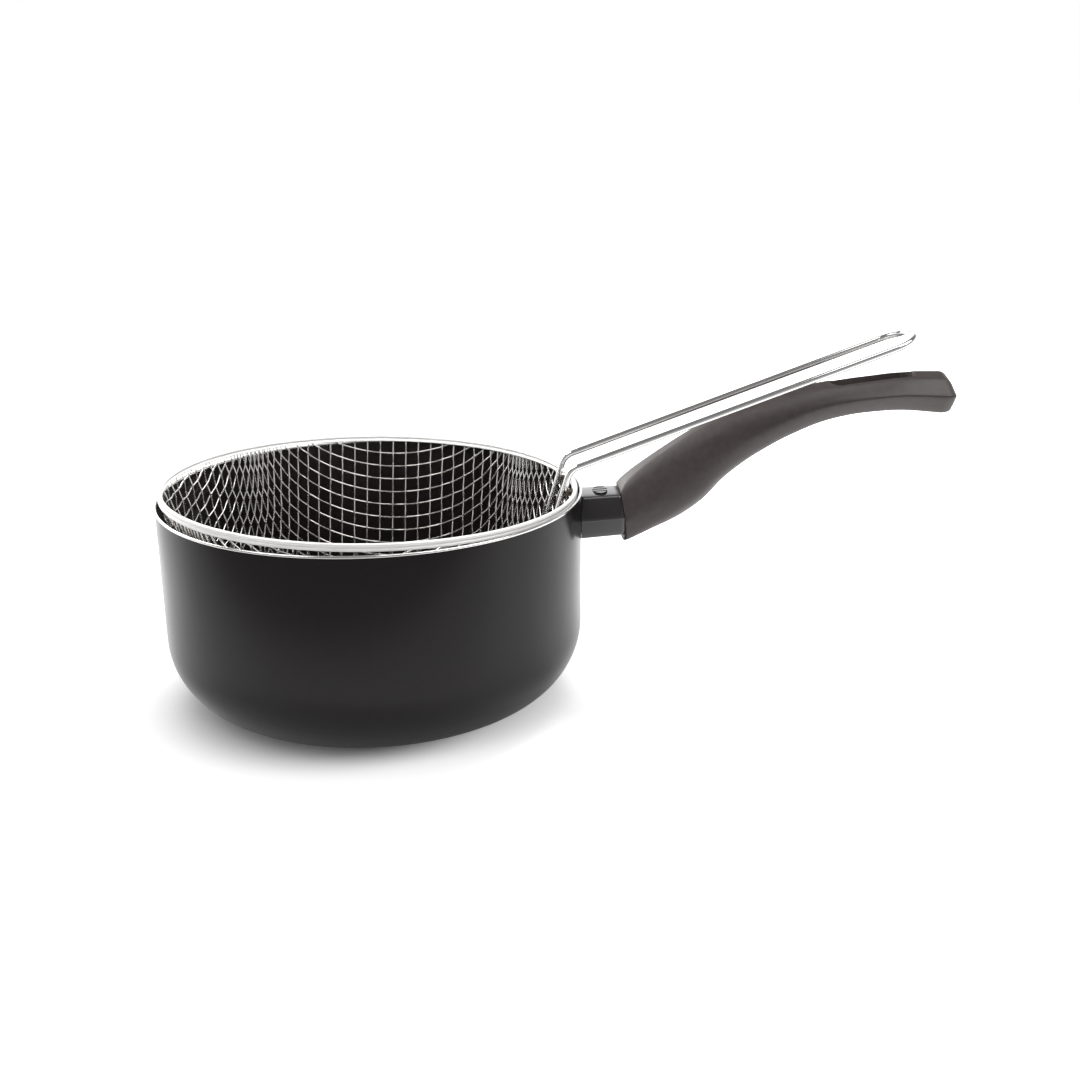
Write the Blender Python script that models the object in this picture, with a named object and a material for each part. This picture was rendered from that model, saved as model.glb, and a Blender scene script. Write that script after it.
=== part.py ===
"""A chip pot: an enamelled steel pot with a swept handle, and a drawn wire basket that lifts out.

The pot's base is at the origin, +Z is up and the handle points along +X. Lengths are in metres.
"""
import math

import bmesh
import bpy
from mathutils import Matrix, Vector

MM = 0.001

# Driving sizes of the whole
POT_RADIUS = 100.0 * MM          # outside of the rim band
POT_HEIGHT = 99.9 * MM           # top of the rim band
SEAT_GAP = 0.3 * MM              # between a piece and what it rests on
SEGMENTS = 64                    # steps round every turned piece
OVERRUN = 5.0 * MM               # how far a cutter runs past what it cuts

# Pot shell
WALL = 1.1 * MM
FLOOR = 2.0 * MM
WALL_TAPER = 0.5 * MM
CORNER_RADIUS = 36.0 * MM
CORNER_STEPS = 7
GROOVE_RADIUS = 44.0 * MM        # the ring pressed into the underside
GROOVE_WIDTH = 4.0 * MM
GROOVE_DEPTH = 0.5 * MM

# Rim band, folded over the shell's cut edge
BAND_SHEET = 0.3 * MM
BAND_GAP = 0.25 * MM
BAND_LEG = 0.3 * MM
BAND_STEPS = 4

# Basket
BASKET_TILT = math.radians(1.17)  # it leans towards its handle
HEM_INSET = 4.6 * MM              # the hem's middle stands this far in from the rim
HEM_MID_RADIUS = POT_RADIUS - HEM_INSET
HEM_SHEET = 0.45 * MM
RING_WIRE_DIAMETER = 2.0 * MM
RING_WIRE_GAP = 0.25 * MM
HEM_HEIGHT = 4.6 * MM
HEM_FLARE = 0.2 * MM
HEM_STEPS = 4
RING_WIRE_SIDES = 6
NET_SHEET = 1.1 * MM              # the woven net's thickness
NET_SHORTFALL = 2.2 * MM          # the net is this much shallower than the pot is high
NET_DEPTH = POT_HEIGHT - NET_SHORTFALL  # from the hem's lower edge to the bottom
NET_ABOVE_HEM_EDGE = 1.4 * MM     # how far the net reaches up into the hem
NET_CORNER_RADIUS = 48.4 * MM
NET_LEAN = math.radians(10.0)
NET_TURN = math.radians(-6.0)     # the net's straight wires, turned from the handle
NET_CELLS_UP = 10                 # net cells from the middle of the bottom to the rim
NET_WIRE = 2.2 * MM               # width of the bars of the coarse net
NET_CLOSED_CELL = 4.8 * MM        # cells narrower than this stay closed
NET_EDGE_CUTS = 1                 # extra points in each stretch of its top edge
KNOT_GRID = 0.03 * MM             # knots nearer than this are one
CUT_TOLERANCE = 0.0003 * MM

# Laying the net by Newton's method
KNOT_TRIES = 40
KNOT_TOLERANCE_SHARE = 1e-6
KNOT_NUDGE_SHARE = 1e-4
KNOT_STEP_SHARE = 0.5             # the longest step, as a share of a cell
KNOT_SWING = 0.2                  # the longest turn, in radians

# Basket handle
HANDLE_WIRE = 3.1 * MM
STRAND_SPACING = 26.45 * MM
BEND_INSET = 2.8 * MM             # the bend stands this far in from the hem's middle
BEND_LIFT = 10.65 * MM            # and this far above its lower edge
BEND_RADIUS = 8.0 * MM
STRAND_RISE = math.radians(19.05)
RISER_LEAN = math.radians(72.3)
RISER_DROP = 44.0 * MM            # from the bend to the riser's foot
LOOP_REACH = 164.9 * MM           # from the bend to the loop's tip
LOOP_STEPS = 14
BEND_STEPS = 5
HANDLE_ROUNDNESS = 2              # bevel resolution of the wire

# Collar between the pot and the grip
COLLAR_DROP = 4.5 * MM            # its top lies this far below the rim
COLLAR_TOP_Z = POT_HEIGHT - COLLAR_DROP
COLLAR_UPPER_HEIGHT = 10.4 * MM   # from its widest edge up
COLLAR_LOWER_HEIGHT = 10.0 * MM   # and down
COLLAR_EDGE_Z = COLLAR_TOP_Z - COLLAR_UPPER_HEIGHT
COLLAR_BOTTOM_Z = COLLAR_EDGE_Z - COLLAR_LOWER_HEIGHT
COLLAR_TOP_WIDTH = 20.0 * MM
COLLAR_EDGE_WIDTH = 31.6 * MM
COLLAR_BOTTOM_WIDTH = 19.0 * MM
COLLAR_RISE = 1.0 * MM            # its top climbs this much towards the grip
COLLAR_NARROWING_SHARE = 0.04
COLLAR_SHEET = 2.2 * MM
COLLAR_LENGTH = 20.5 * MM
SEAM_X = POT_RADIUS + COLLAR_LENGTH  # where the collar's bottom meets the grip
SEAM_TILT = math.radians(7.0)

# Grip
GRIP_REACH = 156.2 * MM
GRIP_RISE = 75.6 * MM
GRIP_OVERHANG = 2.6 * MM          # its foot hangs this far below the collar
GRIP_TIP_X = SEAM_X + GRIP_REACH
GRIP_FOOT_Z = COLLAR_BOTTOM_Z - GRIP_OVERHANG
GRIP_TOP_Z = GRIP_FOOT_Z + GRIP_RISE
GRIP_WIDTH = 32.0 * MM
GRIP_STEPS = 3                    # loft rings between two stations
GRIP_END_REACH = 5.5 * MM         # how far its rounded end runs past the last station
GRIP_END_UNDERCUT = 0.75 * MM     # how far the end leans in at the bottom
GRIP_END_LIFT = 1.0 * MM          # and how far its lower corner is rounded up
GRIP_END_FALL_SHARE = 0.80        # how far its top rolls down, of the way to the widest edge
GRIP_END_NARROWING_SHARE = 0.20   # how much narrower it ends
GRIP_END_STEPS = 4
SLOT_END_MARGIN = 17.7 * MM       # from the slot to the grip's tip
SLOT_LENGTH = 39.0 * MM
SLOT_END_X = GRIP_TIP_X - SLOT_END_MARGIN
SLOT_START_X = SLOT_END_X - SLOT_LENGTH
SLOT_WIDTH = 12.0 * MM
SLOT_STEPS = 8

# Bolt that holds the grip and the collar to the bracket
BOLT_FOOT_OUT = 11.5 * MM         # the threaded end, out from the rim
BOLT_FOOT_DOWN = 2.0 * MM         # and down from the collar's widest edge
BOLT_FOOT_X = POT_RADIUS + BOLT_FOOT_OUT
BOLT_FOOT_Z = COLLAR_EDGE_Z - BOLT_FOOT_DOWN
BOLT_SEAT_X_SHARE = 0.5346        # the washer's seat, as shares of the grip's reach and rise
BOLT_SEAT_Z_SHARE = 0.7831
BOLT_SEAT_X = SEAM_X + GRIP_REACH * BOLT_SEAT_X_SHARE
BOLT_SEAT_Z = GRIP_FOOT_Z + GRIP_RISE * BOLT_SEAT_Z_SHARE
BOLT_DIAMETER = 5.0 * MM
BOLT_HEAD_DIAMETER = 8.0 * MM
BOLT_HEAD_HEIGHT = 3.2 * MM
BOLT_SIDES = 16
WASHER_DIAMETER = 8.4 * MM
WASHER_HEIGHT = 1.0 * MM
BORE_CLEARANCE = 0.3 * MM
COUNTERBORE_DIAMETER = 9.2 * MM

# Bracket inside the collar
FLANGE_THICKNESS = 1.8 * MM
FLANGE_WIDTH = 18.0 * MM
ARM_WIDTH = 11.0 * MM
ARM_HEIGHT = 12.8 * MM
ARM_ABOVE_BOTTOM = 4.0 * MM       # its underside, above the collar's
ARM_BOTTOM_Z = COLLAR_BOTTOM_Z + ARM_ABOVE_BOTTOM
ARM_TOP_Z = ARM_BOTTOM_Z + ARM_HEIGHT
ARM_END_GAP = 1.0 * MM            # before the seam


def clear_scene():
    """Remove every object that the file opened with."""
    for obj in list(bpy.data.objects):
        bpy.data.objects.remove(obj, do_unlink=True)


def material(name, colour, roughness, metallic):
    """Return a Principled material."""
    mat = bpy.data.materials.new(name)
    mat.use_nodes = True
    shader = mat.node_tree.nodes["Principled BSDF"]
    shader.inputs["Base Color"].default_value = (*colour, 1.0)
    shader.inputs["Roughness"].default_value = roughness
    shader.inputs["Metallic"].default_value = metallic
    return mat


def add_object(name, bm, mat, smooth_angle=math.radians(40.0)):
    """Turn a bmesh into a named object, shaded smooth."""
    bmesh.ops.recalc_face_normals(bm, faces=bm.faces)
    mesh = bpy.data.meshes.new(name)
    bm.to_mesh(mesh)
    bm.free()
    mesh.materials.append(mat)
    mesh.shade_smooth()
    mesh.set_sharp_from_angle(angle=smooth_angle)
    obj = bpy.data.objects.new(name, mesh)
    bpy.context.collection.objects.link(obj)
    return obj


def make_cutter(name, bm):
    """Turn a bmesh into a hidden cutter."""
    bmesh.ops.recalc_face_normals(bm, faces=bm.faces)
    mesh = bpy.data.meshes.new(name)
    bm.to_mesh(mesh)
    bm.free()
    obj = bpy.data.objects.new(name, mesh)
    bpy.context.collection.objects.link(obj)
    obj.hide_render = True
    obj.display_type = "WIRE"
    return obj


def combine(obj, other, operation):
    """Add a Boolean modifier that joins or cuts with another object."""
    modifier = obj.modifiers.new(f"{operation}_{other.name}".lower(), "BOOLEAN")
    modifier.operation = operation
    modifier.object = other


def arc(centre, radius, start, end, steps):
    """Return points of a circular arc in a plane, both ends included."""
    angles = [start + (end - start) * k / steps for k in range(steps + 1)]
    return [(centre[0] + radius * math.cos(a), centre[1] + radius * math.sin(a)) for a in angles]


def turned(profile):
    """Revolve a closed outline of (radius, height) points about Z.

    Where the outline touches the axis, its ring closes to a single point.
    """
    bm = bmesh.new()
    rings = []
    for radius, height in profile:
        if radius == 0.0:
            rings.append([bm.verts.new((0.0, 0.0, height))])
            continue
        ring = []
        for k in range(SEGMENTS):
            angle = 2.0 * math.pi * k / SEGMENTS
            ring.append(bm.verts.new((radius * math.cos(angle), radius * math.sin(angle), height)))
        rings.append(ring)
    for lower, upper in zip(rings, rings[1:] + rings[:1]):
        bridge(bm, lower, upper)
    return bm


def bridge(bm, first, second):
    """Join two rings of vertices with faces; a ring of one vertex makes a fan."""
    if len(first) == 1 and len(second) == 1:
        return
    count = max(len(first), len(second))
    for k in range(count):
        following = (k + 1) % count
        if len(first) == 1:
            corners = [first[0], second[following], second[k]]
        elif len(second) == 1:
            corners = [first[k], first[following], second[0]]
        else:
            corners = [first[k], first[following], second[following], second[k]]
        bm.faces.new(corners)


def loft(bm, rings):
    """Skin a list of rings of points, closed at both ends."""
    rows = [[bm.verts.new(point) for point in ring] for ring in rings]
    for first, second in zip(rows, rows[1:]):
        bridge(bm, first, second)
    bm.faces.new(rows[0])
    bm.faces.new(list(reversed(rows[-1])))


def cylinder_between(bm, start, end, radius, sides):
    """Add a closed cylinder from one point to another."""
    start = Vector(start)
    along = Vector(end) - start
    turn = along.to_track_quat("Z", "Y").to_matrix().to_4x4()
    place = Matrix.Translation(start + along / 2.0) @ turn
    bmesh.ops.create_cone(bm, cap_ends=True, segments=sides, radius1=radius, radius2=radius,
                          depth=along.length, matrix=place)


# Pot

def band_width():
    """Thickness of the rim band across the wall that it covers."""
    return WALL + 2.0 * (BAND_GAP + BAND_SHEET)


def wall_outer_radius(height):
    """Outside radius of the pot's wall at a height above its corner."""
    top = POT_RADIUS - BAND_SHEET - BAND_GAP
    share = (POT_HEIGHT - height) / (POT_HEIGHT - CORNER_RADIUS)
    return top - WALL_TAPER * share


def pot_shell(mat):
    """The drawn pot: a straight wall, a large corner and a flat base with a pressed ring."""
    edge_z = POT_HEIGHT - band_width() / 2.0
    corner_r = wall_outer_radius(CORNER_RADIUS) - CORNER_RADIUS
    inner_radius = CORNER_RADIUS - WALL
    outer = arc((corner_r, CORNER_RADIUS), CORNER_RADIUS, -math.pi / 2.0, 0.0, CORNER_STEPS)
    inner_centre = (corner_r, FLOOR + inner_radius)
    inner = arc(inner_centre, inner_radius, 0.0, -math.pi / 2.0, CORNER_STEPS)
    groove = [
        (GROOVE_RADIUS - GROOVE_WIDTH / 2.0, 0.0),
        (GROOVE_RADIUS - GROOVE_WIDTH / 4.0, GROOVE_DEPTH),
        (GROOVE_RADIUS + GROOVE_WIDTH / 4.0, GROOVE_DEPTH),
        (GROOVE_RADIUS + GROOVE_WIDTH / 2.0, 0.0),
    ]
    profile = [(0.0, 0.0)] + groove + outer
    profile.append((wall_outer_radius(edge_z), edge_z))
    profile.append((wall_outer_radius(edge_z) - WALL, edge_z))
    profile += inner
    profile.append((0.0, FLOOR))
    return add_object("pot_shell", turned(profile), mat)


def rim_band(mat):
    """The bright band: a U of sheet, upside down over the shell's cut edge."""
    half = band_width() / 2.0
    mid = POT_RADIUS - half
    centre = (mid, POT_HEIGHT - half)
    foot = centre[1] - BAND_LEG
    outer = arc(centre, half, 0.0, math.pi, BAND_STEPS + 2)
    slot = arc(centre, half - BAND_SHEET, math.pi, 0.0, BAND_STEPS)
    profile = [(mid + half, foot)] + outer + [(mid - half, foot)]
    profile += [(mid - half + BAND_SHEET, foot)] + slot + [(mid + half - BAND_SHEET, foot)]
    return add_object("rim_band", turned(profile), mat)


# Collar, bracket, grip and bolt

def seam_x(height):
    """Where the tilted seam between the collar and the grip lies at a height."""
    return SEAM_X - (height - COLLAR_BOTTOM_Z) * math.tan(SEAM_TILT)


def collar_outline(inset, scale, rise):
    """Six-sided section of the collar as (sideways, height) points, anticlockwise from below."""
    side_run = COLLAR_EDGE_WIDTH / 2.0 - inset
    bottom_run = COLLAR_BOTTOM_WIDTH / 2.0 - inset / 2.0
    top_run = COLLAR_TOP_WIDTH / 2.0 - inset / 2.0
    corners = [
        (bottom_run, COLLAR_BOTTOM_Z + inset),
        (side_run, COLLAR_EDGE_Z),
        (top_run, COLLAR_TOP_Z - inset),
        (-top_run, COLLAR_TOP_Z - inset),
        (-side_run, COLLAR_EDGE_Z),
        (-bottom_run, COLLAR_BOTTOM_Z + inset),
    ]
    return [(u * scale, COLLAR_EDGE_Z + (z - COLLAR_EDGE_Z) * scale + rise) for u, z in corners]


def collar_rings(inset, pot_end_x, overrun):
    """Sections of the collar at the pot and at the seam, as 3-D points."""
    wide = collar_outline(inset, 1.0, 0.0)
    slim = collar_outline(inset, 1.0 - COLLAR_NARROWING_SHARE, COLLAR_RISE)
    near = [(pot_end_x, u, z) for u, z in wide]
    far = [(seam_x(z) + overrun, u, z) for u, z in slim]
    return [near, far]


def wall_cutter(name, gap):
    """A solid of the pot's outer wall, grown by a gap, that shapes what meets it."""
    low = COLLAR_BOTTOM_Z - OVERRUN * 2.0
    high = POT_HEIGHT + OVERRUN
    profile = [(0.0, low), (wall_outer_radius(low) + gap, low),
               (wall_outer_radius(high) + gap, high), (0.0, high)]
    return make_cutter(name, turned(profile))


def handle_collar(mat):
    """The guard between pot and grip: a six-sided tube, cut to the wall's curve."""
    bm = bmesh.new()
    start_x = POT_RADIUS - OVERRUN
    loft(bm, collar_rings(0.0, start_x, 0.0))
    obj = add_object("handle_collar", bm, mat, math.radians(20.0))
    hollow = bmesh.new()
    loft(hollow, collar_rings(COLLAR_SHEET, start_x - OVERRUN, OVERRUN))
    combine(obj, make_cutter("cut_collar_hollow", hollow), "DIFFERENCE")
    combine(obj, wall_cutter("cut_collar_wall", SEAT_GAP), "DIFFERENCE")
    return obj


def bolt_point(distance, from_seat=False):
    """A point on the bolt's axis, at a distance from its threaded end or from its seat."""
    foot = Vector((BOLT_FOOT_X, 0.0, BOLT_FOOT_Z))
    seat = Vector((BOLT_SEAT_X, 0.0, BOLT_SEAT_Z))
    along = (seat - foot).normalized()
    return (seat if from_seat else foot) + along * distance


def handle_bracket(mat):
    """The bracket welded to the wall: a curved flange and an arm with the bolt's threaded hole."""
    bm = bmesh.new()
    end_top = seam_x(ARM_TOP_Z) - ARM_END_GAP
    end_bottom = seam_x(ARM_BOTTOM_Z) - ARM_END_GAP
    start_x = POT_RADIUS - OVERRUN
    side = [(start_x, ARM_BOTTOM_Z), (end_bottom, ARM_BOTTOM_Z), (end_top, ARM_TOP_Z),
            (start_x, ARM_TOP_Z)]
    rings = [[(x, u, z) for x, z in side] for u in (-ARM_WIDTH / 2.0, ARM_WIDTH / 2.0)]
    loft(bm, rings)
    obj = add_object("handle_bracket", bm, mat)
    plate = bmesh.new()
    outside_x = POT_RADIUS + FLANGE_THICKNESS
    plan = [(start_x, ARM_BOTTOM_Z), (outside_x, ARM_BOTTOM_Z), (outside_x, ARM_TOP_Z),
            (start_x, ARM_TOP_Z)]
    rings = [[(x, u, z) for x, z in plan] for u in (-FLANGE_WIDTH / 2.0, FLANGE_WIDTH / 2.0)]
    loft(plate, rings)
    combine(obj, make_cutter("add_flange", plate), "UNION")
    combine(obj, wall_cutter("cut_bracket_wall", SEAT_GAP), "DIFFERENCE")
    hole = bmesh.new()
    end = bolt_point(-BOLT_DIAMETER / 4.0)
    mouth = bolt_point((BOLT_SEAT_X - BOLT_FOOT_X) / 2.0)
    cylinder_between(hole, end, mouth, BOLT_DIAMETER / 2.0 + BORE_CLEARANCE, BOLT_SIDES)
    combine(obj, make_cutter("cut_bracket_hole", hole), "DIFFERENCE")
    return obj


# Each station of the grip: a point on the lower and one on the upper outline, as shares of the
# grip's reach and rise, then the section's half width, the height of its widest edge, the half
# widths of its top and its bottom, and how much its corners are cut, all as shares.
GRIP_STATION_SHARES = [
    (0.000, 0.000, -0.020, 0.331, 0.95, 0.46, 0.63, 0.60, 0.10),
    (0.075, 0.055, -0.001, 0.388, 0.97, 0.46, 0.60, 0.58, 0.16),
    (0.165, 0.132, 0.060, 0.497, 0.97, 0.46, 0.52, 0.56, 0.22),
    (0.240, 0.235, 0.162, 0.643, 0.96, 0.46, 0.45, 0.54, 0.24),
    (0.300, 0.366, 0.240, 0.731, 0.94, 0.47, 0.42, 0.52, 0.24),
    (0.372, 0.486, 0.333, 0.811, 0.90, 0.48, 0.40, 0.50, 0.24),
    (0.450, 0.583, 0.410, 0.862, 0.88, 0.49, 0.36, 0.50, 0.22),
    (0.509, 0.645, 0.475, 0.906, 0.87, 0.50, 0.32, 0.50, 0.20),
    (0.593, 0.718, 0.573, 0.960, 0.88, 0.50, 0.28, 0.50, 0.16),
    (0.679, 0.763, 0.671, 0.990, 0.92, 0.50, 0.24, 0.50, 0.12),
    (0.764, 0.789, 0.764, 1.004, 0.96, 0.50, 0.22, 0.50, 0.08),
    (0.850, 0.795, 0.850, 1.012, 0.99, 0.50, 0.22, 0.50, 0.08),
    (0.962, 0.773, 0.962, 1.006, 1.00, 0.50, 0.22, 0.50, 0.08),
]
GRIP_SEAM_TOP_SHARE = 0.63        # half width of the grip's flat top at the seam
GRIP_CROWN_SHARE = 0.50           # where the crowned top bends, out from the middle


def smooth_stations(rows, steps):
    """Pass a Catmull-Rom curve through the stations and return it in finer steps."""
    padded = [rows[0]] + rows + [rows[-1]]
    fine = []
    for i in range(1, len(padded) - 2):
        for k in range(steps):
            t = k / steps
            fine.append([catmull_rom(padded[i - 1][c], padded[i][c], padded[i + 1][c],
                                     padded[i + 2][c], t) for c in range(len(rows[0]))])
    fine.append(list(rows[-1]))
    return fine


def catmull_rom(a, b, c, d, t):
    """Interpolate between b and c."""
    return 0.5 * (2.0 * b + (c - a) * t + (2.0 * a - 5.0 * b + 4.0 * c - d) * t * t
                  + (3.0 * b - a - 3.0 * c + d) * t * t * t)


def cut_corners(points, share):
    """Replace each corner of a closed outline with two points."""
    cut = []
    for k, point in enumerate(points):
        before = points[k - 1]
        after = points[(k + 1) % len(points)]
        cut.append(tuple(p + (q - p) * share for p, q in zip(point, before)))
        cut.append(tuple(p + (q - p) * share for p, q in zip(point, after)))
    return cut


def grip_section(station):
    """One ring of the grip from a station's shares."""
    low_x, low_z, high_x, high_z, width, edge, top, bottom, cut = station
    low = Vector((SEAM_X + GRIP_REACH * low_x, 0.0, GRIP_FOOT_Z + GRIP_RISE * low_z))
    high = Vector((SEAM_X + GRIP_REACH * high_x, 0.0, GRIP_FOOT_Z + GRIP_RISE * high_z))
    half = GRIP_WIDTH / 2.0 * width
    shoulder = (1.0 + edge) / 2.0 + (1.0 - edge) / 2.0 * min(1.0, top / GRIP_SEAM_TOP_SHARE)
    crown = max(top, GRIP_CROWN_SHARE)
    outline = [
        (-bottom, 0.0), (bottom, 0.0), (1.0, edge), (crown, shoulder),
        (0.0, 1.0), (-crown, shoulder), (-1.0, edge),
    ]
    ring = []
    for side, up in cut_corners(outline, cut):
        point = low.lerp(high, up)
        point.y = side * half
        ring.append(point)
    return ring


def grip_end_rings(last):
    """Rings that close the grip's end: its top rolls down to the widest edge, and below that
    edge the end stands nearly upright.
    """
    edge_share = GRIP_STATION_SHARES[-1][5]
    low = min(point.z for point in last)
    high = max(point.z for point in last)
    edge = low + (high - low) * edge_share
    rings = []
    for k in range(1, GRIP_END_STEPS + 1):
        angle = math.pi / 2.0 * k / GRIP_END_STEPS
        inward = 1.0 - math.cos(angle)
        ring = []
        for point in last:
            above = max(0.0, point.z - edge)
            below = max(0.0, edge - point.z) / (edge - low)
            forward = GRIP_END_REACH - GRIP_END_UNDERCUT * below
            lift = GRIP_END_LIFT * below - GRIP_END_FALL_SHARE * above
            narrow = 1.0 - GRIP_END_NARROWING_SHARE * inward
            ring.append(Vector((point.x + forward * math.sin(angle), point.y * narrow,
                                point.z + lift * inward)))
        rings.append(ring)
    return rings


def handle_grip(mat):
    """The swept grip: a loft, cut by the bolt's bore, its counterbore and the hanging slot."""
    rows = [list(row) for row in GRIP_STATION_SHARES]
    stations = smooth_stations(rows, GRIP_STEPS)
    rings = [grip_section(station) for station in stations]
    rings += grip_end_rings(rings[-1])
    for point in rings[0]:
        point.x = seam_x(point.z)
    gap = Vector((SEAT_GAP, 0.0, 0.0))
    bm = bmesh.new()
    loft(bm, [[point + gap for point in ring] for ring in rings])
    obj = add_object("handle_grip", bm, mat, math.radians(28.0))
    slot = bmesh.new()
    half = SLOT_WIDTH / 2.0
    plan = arc((SLOT_END_X - half, 0.0), half, -math.pi / 2.0, math.pi / 2.0, SLOT_STEPS)
    plan += arc((SLOT_START_X + half, 0.0), half, math.pi / 2.0, math.pi * 1.5, SLOT_STEPS)
    rings = [[(x, u, z) for x, u in plan] for z in (GRIP_FOOT_Z, GRIP_TOP_Z + OVERRUN)]
    loft(slot, rings)
    combine(obj, make_cutter("cut_slot", slot), "DIFFERENCE")
    bore = bmesh.new()
    seat = bolt_point(0.0, from_seat=True)
    cylinder_between(bore, bolt_point(0.0), seat + (seat - bolt_point(0.0)).normalized() * OVERRUN,
                     BOLT_DIAMETER / 2.0 + BORE_CLEARANCE, BOLT_SIDES)
    combine(obj, make_cutter("cut_bore", bore), "DIFFERENCE")
    counterbore = bmesh.new()
    far = bolt_point(SLOT_END_X - SLOT_START_X, from_seat=True)
    cylinder_between(counterbore, seat, far, COUNTERBORE_DIAMETER / 2.0, BOLT_SIDES)
    combine(obj, make_cutter("cut_counterbore", counterbore), "DIFFERENCE")
    return obj


def grip_bolt(mat):
    """The long bolt, its head in the counterbore and its end in the bracket."""
    bm = bmesh.new()
    cylinder_between(bm, bolt_point(0.0), bolt_point(WASHER_HEIGHT * 2.0, from_seat=True),
                     BOLT_DIAMETER / 2.0, BOLT_SIDES)
    obj = add_object("grip_bolt", bm, mat)
    head = bmesh.new()
    under = WASHER_HEIGHT + SEAT_GAP * 2.0
    cylinder_between(head, bolt_point(under, from_seat=True),
                     bolt_point(under + BOLT_HEAD_HEIGHT, from_seat=True),
                     BOLT_HEAD_DIAMETER / 2.0, BOLT_SIDES)
    combine(obj, make_cutter("add_head", head), "UNION")
    return obj


def bolt_washer(mat):
    """The washer between the bolt's head and the grip."""
    bm = bmesh.new()
    low = bolt_point(SEAT_GAP, from_seat=True)
    high = bolt_point(SEAT_GAP + WASHER_HEIGHT, from_seat=True)
    cylinder_between(bm, low, high, WASHER_DIAMETER / 2.0, BOLT_SIDES)
    obj = add_object("bolt_washer", bm, mat)
    hole = bmesh.new()
    cylinder_between(hole, bolt_point(-OVERRUN, from_seat=True),
                     bolt_point(OVERRUN, from_seat=True),
                     BOLT_DIAMETER / 2.0 + BORE_CLEARANCE, BOLT_SIDES)
    combine(obj, make_cutter("cut_washer", hole), "DIFFERENCE")
    return obj


# Basket: modelled about its own axis, with its origin in the plane of the hem's lower edge

def basket_height():
    """Height of the hem's lower edge on the basket's axis, with the net standing on the floor."""
    low_point = NET_DEPTH * math.cos(BASKET_TILT) + Bowl().flat * math.sin(BASKET_TILT)
    return FLOOR + SEAT_GAP + NET_SHEET / 2.0 + low_point


def basket_frame():
    """The empty that carries the basket: it sets the basket's place and its lean."""
    frame = bpy.data.objects.new("basket_frame", None)
    frame.location = (0.0, 0.0, basket_height())
    frame.rotation_euler = (0.0, BASKET_TILT, 0.0)
    bpy.context.collection.objects.link(frame)
    return frame


def hem_bead_radius():
    """Outside radius of the hem's round bead."""
    return RING_WIRE_DIAMETER / 2.0 + RING_WIRE_GAP + HEM_SHEET


def basket_hem(mat):
    """The folded strip: a bead round the wire, a crimped neck and a short skirt."""
    bead = hem_bead_radius()
    centre = (HEM_MID_RADIUS, HEM_HEIGHT - bead)
    neck = NET_SHEET / 2.0 + SEAT_GAP
    opening = math.acos((neck + HEM_SHEET) / bead)
    inner_opening = math.acos(neck / (bead - HEM_SHEET))
    outer = arc(centre, bead, -opening, math.pi + opening, HEM_STEPS + 2)
    slot = arc(centre, bead - HEM_SHEET, math.pi + inner_opening, -inner_opening, HEM_STEPS)
    outside = neck + HEM_SHEET
    right = [(HEM_MID_RADIUS + outside + HEM_FLARE, 0.0)]
    left = [(HEM_MID_RADIUS - outside - HEM_FLARE, 0.0)]
    inside_left = [(HEM_MID_RADIUS - neck - HEM_FLARE, 0.0)]
    inside_right = [(HEM_MID_RADIUS + neck + HEM_FLARE, 0.0)]
    profile = right + outer + left + inside_left + slot + inside_right
    return add_object("basket_hem", turned(profile), mat)


def basket_ring_wire(mat):
    """The round wire inside the hem's bead."""
    radius = RING_WIRE_DIAMETER / 2.0
    centre = (HEM_MID_RADIUS, HEM_HEIGHT - hem_bead_radius())
    profile = arc(centre, radius, 0.0, 2.0 * math.pi, RING_WIRE_SIDES)[:-1]
    return add_object("basket_ring_wire", turned(profile), mat)


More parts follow.
